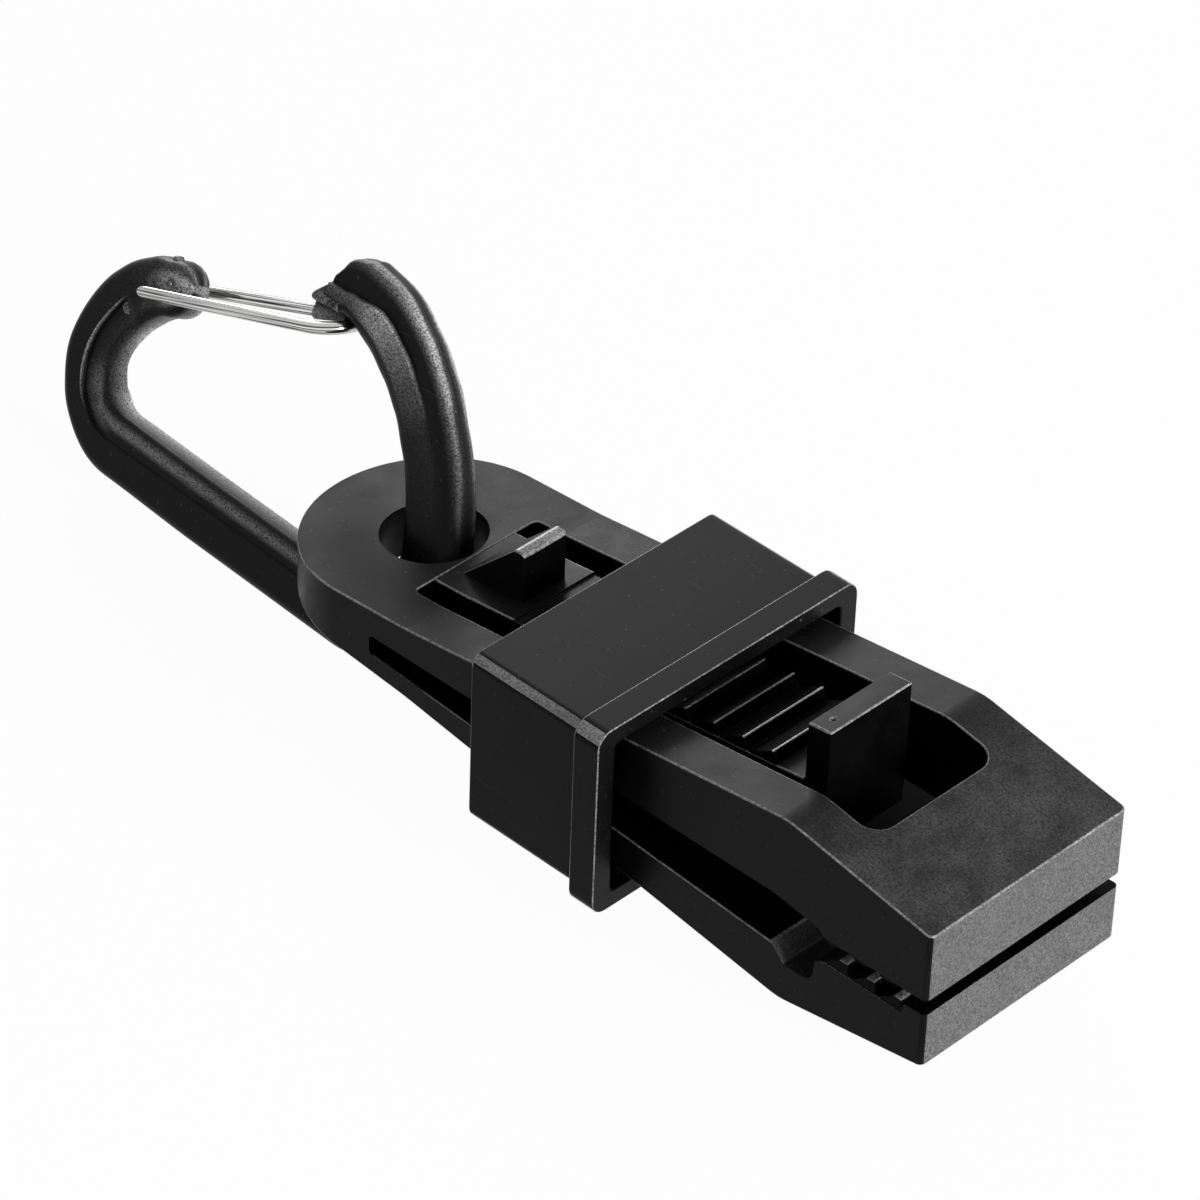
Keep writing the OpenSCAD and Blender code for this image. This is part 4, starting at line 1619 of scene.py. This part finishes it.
@dataclass
class Carabiner:
    """Moulded carabiner with a recess along both sides, and its sprung wire gate."""

    nylon: Material
    steel: Material
    wire: BentWire
    lean: float = 29.0
    swing: float = -3.0
    half_t: float = 2.5
    spine_u: float = -10.41
    eye_bend: Point = (-7.153, -1.61)
    eye_bend_r: float = 8.8
    gate_bend: Point = (-47.553, -2.01)
    gate_bend_r: float = 8.4
    gate_arm: Point = (-43.953, -2.01)
    gate_arm_r: float = 12.0
    arm_end: float = 115.0
    arm_cap: float = 3.3
    hook: Point = (-28.2, -10.113)
    hook_r: float = 31.5
    hook_start: float = 22.0
    hook_end: float = 87.8
    hook_cap: float = 0.35
    lip_start: float = 83.0
    lip_end: float = 87.6
    lip_slant: float = -1.8
    lip_skew: float = 2.6
    lip_in: Point = (-3.3, -4.0)
    lip_out: Point = (-0.6, -0.75)
    lip_edge: float = 0.25
    lip_bevel: float = 1.45
    lip_highlight: float = 0.25
    lip_cap: float = 0.5
    keeper_x: float = -29.15
    keeper_l: float = 4.85
    keeper_rise: float = 2.0
    keeper_t: float = 1.6
    keeper_h: float = 5.0
    keeper_at: float = 86.5
    keeper_sunk: float = 1.2
    keeper_back: Point = (2.6, 2.8)
    pivot: Point = (-52.438, 6.476)
    gate_angle: float = 19.31
    gate_l: float = 30.9
    wire_r: float = 0.76
    leg_n: float = 3.65
    pin_n: float = 0.9
    pin_bend: float = 1.0
    nose_bend: float = 3.6
    near_pin: Point = (1.1, 0.45)
    near_drop: float = -0.4
    far_rise: float = 1.4

    # The numbers after soft_out are painted highlights on the edge, ridge, flange, outer flange and step:
    # lighter colour where these catch the light.
    ARM_TIP = Section(3.2, 3.5, 1.4, 1.7, 0.0, 2.0, 0.55, 0.9, 0.15, 0.4, 0.3, 1.1, 0.9)
    ARM_PIN = Section(3.05, 4.1, 1.3, 1.6, 0.0, 2.0, 0.55, 0.9, 0.15, 0.2, 0.1, 0.3, 0.35)
    ARM_ROOT = Section(3.1, 4.5, 1.3, 1.5, 0.0, -3.2, 0.55, 0.9, 0.15, 0.5, 0.1, 0.0, 0.1)
    ARM = Section(3.2, 4.6, 1.3, 1.4, 0.7, -3.2, 0.6, 0.9, 0.15, 0.8, 0.1, 0.0, 0.05, 0.9)
    GATE_SIDE = Section(2.9, 4.6, 1.3, 1.4, 0.7, -3.0, 0.85, 0.9, 0.15, 0.35, 0.1, 0.0, 0.0, 1.0)
    CORNER = Section(2.95, 4.1, 1.3, 1.4, 0.65, -2.7, 0.8, 0.9, 0.15, 0.3, 0.9, 0.0, 0.0, 0.5)
    TURN = Section(3.2, 3.8, 1.25, 1.3, 0.5, -2.0, 0.3, 0.9, 0.25, 0.8, 0.9, 0.0, 0.0)
    SPINE_ROOT = Section(3.6, 3.85, 1.2, 1.2, 0.35, -1.5, -0.2, 0.9, 0.3, 0.8, 1.0, 0.0, 0.0)
    SPINE = Section(3.5, 4.1, 1.2, 1.2, 0.3, -1.5, -0.35, 0.9, 0.3, 0.8, 1.0, 0.0, 0.0)
    EYE = Section(3.8, 3.3, 1.1, 1.5, 0.15, -1.0, 0.2, 0.8, 0.4)
    IN_EYE = Section(4.7, 2.9, 1.1, 1.7, 0.0, 0.2, 2.4, 0.8, 1.0)
    HOOK_FOOT = Section(4.7, 2.85, 1.1, 1.8, 0.0, 0.4, 2.5, 0.8, 1.0, 0.0, 0.0, 0.0, 0.12, far_cut=2.2)
    HOOK_LOW = Section(4.4, 3.2, 1.4, 1.8, 0.1, 0.4, 2.6, 0.8, 1.0, 0.05, 0.0, 0.08, 0.45, far_cut=2.2)
    HOOK_MIDDLE = Section(4.3, 3.74, 2.0, 1.8, 0.35, 0.6, 2.9, 0.35, 1.0, 0.05, 0.0, 0.4, 1.3)
    HOOK_HIGH = Section(4.15, 4.17, 2.4, 1.8, 0.7, 0.9, 3.1, 0.15, 1.1, 0.05, 0.0, 0.9, 1.7)
    HOOK_TOP = Section(3.75, 4.65, 2.45, 1.9, 0.85, 1.05, 3.2, 0.15, 1.2, 0.05, 0.0, 1.8, 1.6)
    HOOK_NOSE = Section(2.95, 4.3, 1.5, 1.9, 0.85, -0.15, 3.0, 0.15, 1.2, 0.05, 0.0, 0.6, 1.5, far_cut=1.3)
    NOSE_BACK = Section(3.3, 3.75, 1.4, 1.8, 0.8, -0.55, 2.7, 0.15, 1.0, 0.05, 0.0, 0.55, 1.1, far_cut=1.3)
    NOSE_TURN = Section(3.4, 3.0, 1.4, 1.6, 0.75, -0.65, 2.2, 0.15, 0.9, 0.05, 0.0, 0.5, 0.7)
    NOSE_FRONT = Section(3.4, 2.0, 1.4, 1.4, 0.7, -0.7, 1.8, 0.15, 0.8, 0.05, 0.0, 0.5, 0.15)
    NOSE_END = Section(3.4, 0.5, 1.4, 0.6, 0.6, -0.72, 1.2, 0.15, 0.6, 0.05, 0.0, 0.5, 0.1)

    STATION_MM: ClassVar[float] = 0.4
    SPINE_STEPS: ClassVar[int] = 40
    SPINE_EASE: ClassVar[int] = 16
    LIP_STEPS: ClassVar[int] = 24
    CAP_TURNS: ClassVar[tuple[int, ...]] = (15, 30, 45, 58, 70, 80)
    WIRE_SIDES: ClassVar[int] = 24
    BEND_STEPS: ClassVar[int] = 14
    # The last number of each boss is its painted highlight.
    BOSSES: ClassVar[tuple[Boss, ...]] = (
        Boss(-53.55, 4.32, 0.75, 1.4, 2.4, 0.18),
        Boss(-48.7, 9.75, 0.28, 2.2, 2.62, 0.45),
        Boss(-47.2, 9.75, 0.22, 2.2, 2.6, 0.5),
        Boss(-50.4, 12.0, 0.5, 0.2, 1.3, 0.05),
    )

    def in_eye(self) -> Matrix:
        """Matrix from the loop's own plane to where the carabiner lies in the eye."""
        lean = Matrix.Rotation(math.radians(90 - self.lean), 4, "X")
        return Matrix.Rotation(math.radians(self.swing), 4, "Z") @ lean

    @staticmethod
    def on_circle(centre: Point, r: float, degrees: float) -> tuple[Vector, Vector]:
        """Finds a place on a circle.

        Args:
            centre: Centre of the circle.
            r: Its radius.
            degrees: Angle of the place.

        Returns:
            The point and the direction outward there.
        """
        turn = math.radians(degrees)
        outward = Vector((math.cos(turn), math.sin(turn)))
        return Vector(centre) + r * outward, outward

    @staticmethod
    def between(keys: SectionKeys, share: float) -> Section:
        """Section at a share of a stretch.

        Args:
            keys: Share and section at some places, in order.
            share: Where the section is wanted.

        Returns:
            The section.
        """
        for (low, one), (high, two) in zip(keys, keys[1:]):
            if share <= high:
                return one.mixed(two, (share - low) / (high - low))
        return keys[-1][1]

    def bend(self, centre: Point, r: float, start: float, end: float, keys: SectionKeys) -> list[Station]:
        """Stations round a bend.

        Args:
            centre: Centre of the bend.
            r: Middle radius.
            start: Angle of its first station, in degrees.
            end: Angle of its last station.
            keys: Share of the bend and section at some places.

        Returns:
            The stations.
        """
        parts = max(8, round(math.radians(abs(end - start)) * r / self.STATION_MM))
        shares = [k / parts for k in range(parts + 1)]
        places = [self.on_circle(centre, r, start + (end - start) * share) for share in shares]
        return [Station(*place, self.between(keys, share)) for place, share in zip(places, shares)]

    def stations(self) -> list[Station]:
        """Stations from the arm that carries the gate, round the loop, to the hook's nose.

        Returns:
            The stations in order.
        """
        arm = [
            (0, self.ARM_TIP),
            (0.14, self.ARM_PIN),
            (0.4, self.ARM_ROOT),
            (0.56, self.ARM),
            (1, self.GATE_SIDE),
        ]
        corner = [(0, self.GATE_SIDE), (0.33, self.CORNER), (0.6, self.TURN), (1, self.SPINE_ROOT)]
        eye = [(0, self.SPINE), (0.5, self.EYE), (0.8, self.IN_EYE), (1, self.HOOK_FOOT)]
        hook = [
            (0, self.HOOK_FOOT),
            (0.345, self.HOOK_LOW),
            (0.484, self.HOOK_MIDDLE),
            (0.622, self.HOOK_HIGH),
            (0.761, self.HOOK_TOP),
            (0.9, self.HOOK_NOSE),
            (0.938, self.NOSE_BACK),
            (0.968, self.NOSE_TURN),
            (0.986, self.NOSE_FRONT),
            (1, self.NOSE_END),
        ]
        row = self.bend(self.gate_arm, self.gate_arm_r, self.arm_end, 180, arm)
        row += self.bend(self.gate_bend, self.gate_bend_r, 180, 270, corner)[1:]
        first, last = self.gate_bend[0], self.eye_bend[0]
        for k in range(1, self.SPINE_STEPS):
            middle = Vector((first + (last - first) * k / self.SPINE_STEPS, self.spine_u))
            section = self.SPINE_ROOT.mixed(self.SPINE, min(1.0, k / self.SPINE_EASE))
            row.append(Station(middle, Vector((0, -1)), section))
        row += self.bend(self.eye_bend, self.eye_bend_r, -90, self.hook_start, eye)
        row += self.bend(self.hook, self.hook_r, self.hook_start, self.hook_end, hook)[1:]
        return row

    def ring(self, at: Station, cap: float, turn: float) -> tuple[list[Vector], list[float]]:
        """Ring of points round the section at a station, or round the end beyond it.

        Args:
            at: The station.
            cap: Length of the round end, negative at the start.
            turn: How far the end has turned in there, in degrees.

        Returns:
            Points in the loop's own frame, and the painted highlight at each.
        """
        along = Vector((-at.outward.y, at.outward.x)) * cap * math.sin(math.radians(turn))
        share, core = math.cos(math.radians(turn)), (at.section.outer - at.section.inner) / 2
        points, highlight_paint = [], []
        for q, n in at.section.outline(self.half_t):
            flat = at.middle + at.outward * (core + (q - core) * share) + along
            points.append(Vector((flat.x, flat.y, n * (0.4 + 0.6 * share))))
            highlight_paint.append(at.section.painted_highlight(q, n, self.half_t))
        return points, highlight_paint

    def body_shape(self) -> Mesh:
        """Skin of the whole moulding, with round ends.

        Returns:
            The closed mesh, in the loop's own frame.
        """
        row = self.stations()
        rings = [self.ring(row[0], -self.arm_cap, turn) for turn in reversed(self.CAP_TURNS)]
        rings += [self.ring(at, 0.0, 0.0) for at in row]
        rings += [self.ring(row[-1], self.hook_cap, turn) for turn in self.CAP_TURNS]
        return loft([points for points, _ in rings], closed=False, highlight_paint=[highlight_paint for _, highlight_paint in rings])

    def lip_shape(self) -> Mesh:
        """Rounded bar along the inside of the hook, which sticks out at its nose.

        Returns:
            The closed mesh, in the loop's own frame.
        """
        rings, highlight_paint, parts = [], [], self.LIP_STEPS
        for k in range(parts + 1):
            degrees = self.lip_start + (self.lip_end - self.lip_start) * k / parts
            left = (self.lip_end - degrees) * math.radians(1) * self.hook_r
            cap = max(0.06, 1 - (1 - left / self.lip_cap) ** 2)
            share, fall = 1.0 if left > self.lip_cap else math.sqrt(cap), k / parts
            low, high = (one + (two - one) * fall for one, two in (self.lip_in, self.lip_out))
            half_q, core = (high - low) / 2 * (0.75 + 0.25 * share), (low + high) / 2
            half_n = (self.half_t - 0.03) * (0.85 + 0.15 * share)
            ring, row = [], []
            radii = min(self.lip_edge, 0.9 * half_q), min(self.lip_bevel, 0.9 * half_q)
            for reach, n in round_box(half_q, half_n, radii, 6):
                q = core + reach
                slant = fall * (self.lip_slant * (q - high) - self.lip_skew * (1 - n / half_n) / 2)
                flat, _ = self.on_circle(self.hook, self.hook_r + q, degrees + slant)
                ring.append(Vector((flat.x, flat.y, n)))
                # Painted highlight along the lip's outer part.
                row.append(self.lip_highlight * unit(2 * (q - low - self.lip_bevel)))
            rings.append(ring)
            highlight_paint.append(row)
        return loft(rings, closed=False, highlight_paint=highlight_paint)

    def keeper_shape(self) -> Mesh:
        """Block under the nose, between the legs of the gate.

        Returns:
            The closed mesh, in the loop's own frame.
        """
        nose, _ = self.on_circle(self.hook, self.hook_r, self.keeper_at)
        left, right = self.keeper_x, self.keeper_x + self.keeper_l
        top = nose.y - self.keeper_sunk
        low = top - self.keeper_h
        corners = [
            Corner(left, low, 1.4),
            Corner(right, low + self.keeper_rise, 0.4),
            Corner(right, top),
            Corner(left + self.keeper_back[0], top),
            Corner(left, top - self.keeper_back[1]),
        ]
        shape = prism(rounded(corners), -self.keeper_t / 2, self.keeper_t / 2, Axis.UP)
        shape.verts.layers.float.new(Nylon.PAINTED_HIGHLIGHT)
        return shape

    def boss_shape(self, boss: Boss) -> Mesh:
        """Low round boss that the mould leaves on the near side.

        Args:
            boss: Its place and sizes.

        Returns:
            The closed mesh, in the loop's own frame.
        """
        turns = [math.pi * k / 12 for k in range(24)]
        low, high, r = boss.low, boss.high, boss.r
        rows = ((low, 1.0), (high - 0.4 * r, 1.0), (high - 0.1 * r, 0.8), (high, 0.4))
        rings = [
            [Vector((boss.u + r * k * math.cos(t), boss.v + r * k * math.sin(t), n)) for t in turns]
            for n, k in rows
        ]
        return loft(rings, closed=False, highlight_paint=[[boss.painted_highlight] * len(turns)] * len(rows))

    def set_in_eye(self, name: str, shape: Mesh) -> Blank:
        """Blank of a shape, moved from the loop's own frame to its place in the eye."""
        bmesh.ops.transform(shape, matrix=self.in_eye(), verts=shape.verts)
        return Blank(name, shape)

    def build_body(self) -> None:
        """Builds the moulded hook with the lip and the keeper at its nose."""
        body = self.set_in_eye("carabiner_moulding", self.body_shape())
        body.combine(self.set_in_eye("lip", self.lip_shape()), Cut.JOIN)
        body.combine(self.set_in_eye("keeper", self.keeper_shape()), Cut.JOIN)
        for boss in self.BOSSES:
            body.combine(self.set_in_eye("boss", self.boss_shape(boss)), Cut.JOIN)
        skins = dict.fromkeys(Skin, self.nylon)
        Dressing(skins, Slot.CARABINER, Body.CARABINER, "carabiner_body").dress(body)

    def build_gate(self) -> None:
        """Builds the wire hairpin that closes the hook; its far leg is set higher, which springs it."""
        back, rise = self.near_pin
        points = [
            (back, rise, self.pin_n, 0.0),
            (back, rise, self.leg_n, self.pin_bend),
            (self.gate_l, self.near_drop, self.leg_n, self.nose_bend),
            (self.gate_l, self.far_rise, -self.leg_n, self.nose_bend),
            (0.0, self.far_rise, -self.leg_n, self.pin_bend),
            (0.0, self.far_rise, -self.pin_n, 0.0),
        ]
        place = self.in_eye() @ Matrix.Translation((*self.pivot, 0))
        place = place @ Matrix.Rotation(math.radians(self.gate_angle), 4, "Z")
        line = bpy.data.meshes.new("gate_wire_hairpin")
        spots = [place @ Vector(row[:3]) for row in points]
        line.from_pydata(spots, [(k, k + 1) for k in range(len(points) - 1)], [])
        bends = line.attributes.new(BentWire.BEND, "FLOAT", "POINT")
        bends.data.foreach_set("value", [row[3] for row in points])
        blank = Blank("gate_wire_hairpin", bmesh.new())
        blank.obj.data = line
        values = {"Radius": self.wire_r, "Sides": self.WIRE_SIDES, "Bend steps": self.BEND_STEPS}
        self.wire.run(blank, {**values, "Finish": self.steel})
        skins = dict.fromkeys(Skin, self.steel)
        Dressing(skins, Slot.GATE, Body.GATE, "gate_wire").dress(blank)

    def build(self) -> None:
        """Builds the carabiner and its gate."""
        self.build_body()
        self.build_gate()


@dataclass(frozen=True)
class PhotoCamera:
    """Camera at the photograph's angle, for a square frame.

    Attributes:
        azimuth: Turn round Z from looking along Y, in degrees.
        elevation: Height over the horizon, in degrees.
        roll: Turn about the line of sight, in degrees.
        distance: Distance from the origin's plane.
        shift: Sideways and upward shift of the origin in the view.
        focal_px: Focal length in pixels of the frame.
        frame_px: Width of the frame in pixels.
        sensor: Width of the sensor.
        near_m: Nearest distance that shows, in metres.
    """

    azimuth: float = 43.342
    elevation: float = 37.81
    roll: float = 2.184
    distance: float = 692.554
    shift: Point = (-18.293, 4.437)
    focal_px: float = 6295.324
    frame_px: float = 1200.0
    sensor: float = 36.0
    near_m: float = 0.01

    def place(self) -> None:
        """Makes the camera and makes it the scene's camera."""
        a, e, r = (math.radians(v) for v in (self.azimuth, self.elevation, self.roll))
        back = Vector((math.sin(a) * math.cos(e), -math.cos(a) * math.cos(e), math.sin(e)))
        right = Vector((math.cos(a), math.sin(a), 0))
        up = back.cross(right)
        across = math.cos(r) * right + math.sin(r) * up
        above = math.cos(r) * up - math.sin(r) * right
        spot = (self.distance * back - self.shift[0] * across - self.shift[1] * above) * MM
        data = bpy.data.cameras.new("photo_camera")
        data.sensor_width = self.sensor
        data.lens = self.focal_px / self.frame_px * self.sensor
        data.clip_start = self.near_m
        camera = put("photo_camera", data)
        turn = Matrix((across, above, back)).transposed().to_4x4()
        camera.matrix_world = Matrix.Translation(spot) @ turn
        bpy.context.scene.camera = camera


@dataclass(frozen=True)
class Softbox:
    """Soft lamp: where it hangs, how wide it is and how strong."""

    name: str
    place: tuple[float, float, float]
    size: float
    power: float

    def hang(self) -> None:
        """Makes the lamp, turned to the object."""
        data = bpy.data.lights.new(self.name, "AREA")
        data.size = self.size
        data.energy = self.power
        lamp = put(self.name, data)
        lamp.location = self.place
        lamp.rotation_mode = "QUATERNION"
        lamp.rotation_quaternion = (-Vector(self.place)).to_track_quat("-Z", "Y")


@dataclass
class Studio:
    """White floor and surroundings with soft lamps."""

    floor_z: float
    floor_half: float = 3.0
    ambient: float = 0.2
    floor_grey: float = 0.86
    shadow_share: float = 0.03
    lamps: tuple[Softbox, ...] = (
        Softbox("right_softbox", (1.0, 0.08, 0.26), 0.5, 15.0),
        Softbox("back_softbox", (-0.78, 0.62, 0.33), 0.35, 4.0),
    )

    @staticmethod
    def seen(graph: Graph) -> Socket:
        """Tells apart what looks at a surface from what lights it.

        Args:
            graph: Graph that gets the nodes.

        Returns:
            Socket that is 1 for the camera, a reflection or a refraction, and 0 for other light.
        """
        path = graph.add("ShaderNodeLightPath").outputs
        rays = [path[name] for name in ("Is Camera Ray", "Is Glossy Ray", "Is Transmission Ray")]
        return graph.fold("ADD", rays, use_clamp=True)

    def light_world(self) -> None:
        """Makes the surroundings white to the eye and softer as a light."""
        world = bpy.data.worlds.new("white_studio")
        bpy.context.scene.world = world
        world.use_nodes = True
        graph = Graph(world.node_tree)
        feeds = {"Value": self.seen(graph), "To Min": self.ambient}
        strength = graph.made("ShaderNodeMapRange", feeds)
        sky = world.node_tree.nodes["Background"]
        graph.feed(sky, {"Color": (1, 1, 1, 1), "Strength": strength})

    def lay_floor(self) -> None:
        """Lays the floor: white to the eye, with the object's soft shadow."""
        h, z = self.floor_half, self.floor_z
        mesh = bpy.data.meshes.new("floor")
        mesh.from_pydata([(-h, -h, z), (h, -h, z), (h, h, z), (-h, h, z)], [], [(0, 1, 2, 3)])
        material = bpy.data.materials.new("white_floor")
        material.use_nodes = True
        graph, nodes = Graph(material.node_tree), material.node_tree.nodes
        nodes.remove(nodes["Principled BSDF"])
        paint = graph.made("ShaderNodeBsdfDiffuse", {"Color": (self.floor_grey,) * 3 + (1,)})
        glow = graph.made("ShaderNodeEmission")
        feeds = {"Value": self.seen(graph), "To Max": 1 - self.shadow_share}
        share = graph.made("ShaderNodeMapRange", feeds)
        mix = graph.made("ShaderNodeMixShader", {0: share, 1: paint, 2: glow})
        graph.feed(nodes["Material Output"], {"Surface": mix})
        mesh.materials.append(material)
        floor = put(mesh.name, mesh)
        floor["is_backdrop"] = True

    def set_up(self) -> None:
        """Sets up the floor, the surroundings and the lamps."""
        bpy.context.scene.view_settings.view_transform = "Standard"
        self.light_world()
        self.lay_floor()
        for lamp in self.lamps:
            lamp.hang()


def nylon_skins(prefix: str, grey: float) -> dict[Skin, Material]:
    """Finishes of one moulded piece, with lighter and darker copies that paint highlight and shade.

    Args:
        prefix: Start of the materials' names.
        grey: Mean brightness of the plastic.

    Returns:
        A material for each finish.
    """
    finishes = {
        Skin.SATIN: Nylon(f"{prefix}_satin", grey, 0.25, 0.44, 0.1, 0.22, 0.004, 0.12, 0.02),
        # Half the grey and specular of satin: painted shade on a smoother finish.
        Skin.POLISHED_SHADED: Nylon(f"{prefix}_polished_shaded", 0.5 * grey, 0.3, 0.4, 0.05, 0.5, 0.002, 0.05, 0.008),
        Skin.GRAINED: Nylon(
            f"{prefix}_grained", 0.042, 0.45, 0.5, 0.1, 0.27, 0.06, 0.6, 0.01, fade_mm=(66.0, 76.0)
        ),
        # Painted highlight on rounded edges and crests.
        Skin.EDGE: Nylon(f"{prefix}_edge", 0.16, 0.3, 0.32, 0.7, 0.26, 0.03, 0.85, 0.02),
        # Painted shade in hollows and on tooth flanks.
        Skin.SHADED_HOLLOW: Nylon(f"{prefix}_hollow", 0.2 * grey, 0.3, 0.45, 0.02, 0.5, 0.002, 0.05, 0.004),
        # Real grain, painted lighter where it stands for light caught on the tips.
        Skin.TIP: Nylon(f"{prefix}_tip", 0.085, 0.1, 0.55, 0.2, 0.22, 0.06, 0.6, 0.01),
    }
    return {skin: finish.material() for skin, finish in finishes.items()}


def main() -> None:
    """Builds the studio, the clamp, the collar and the carabiner."""
    logging.basicConfig(level=logging.INFO, format="%(message)s")
    PhotoCamera().place()
    clamp_skins = nylon_skins("clamp", 0.008)
    ClampMoulding(clamp_skins, RibRow()).build()
    LockCollar(nylon_skins("collar", 0.0035)).build()
    # The carabiner's plastic is painted lighter where the stored painted highlight lies.
    nylon = Nylon("carabiner_painted_highlights", 0.004, 0.25, 0.38, 0.09, 0.22, 0.03, 0.85, 0.02, 0.64)
    steel = Steel("gate_bright_steel", 0.78, 0.05, 0.16)
    Carabiner(nylon.material(), steel.material(), BentWire()).build()
    Studio(floor_z=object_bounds()[0].z).set_up()


if __name__ == "__main__":
    main()
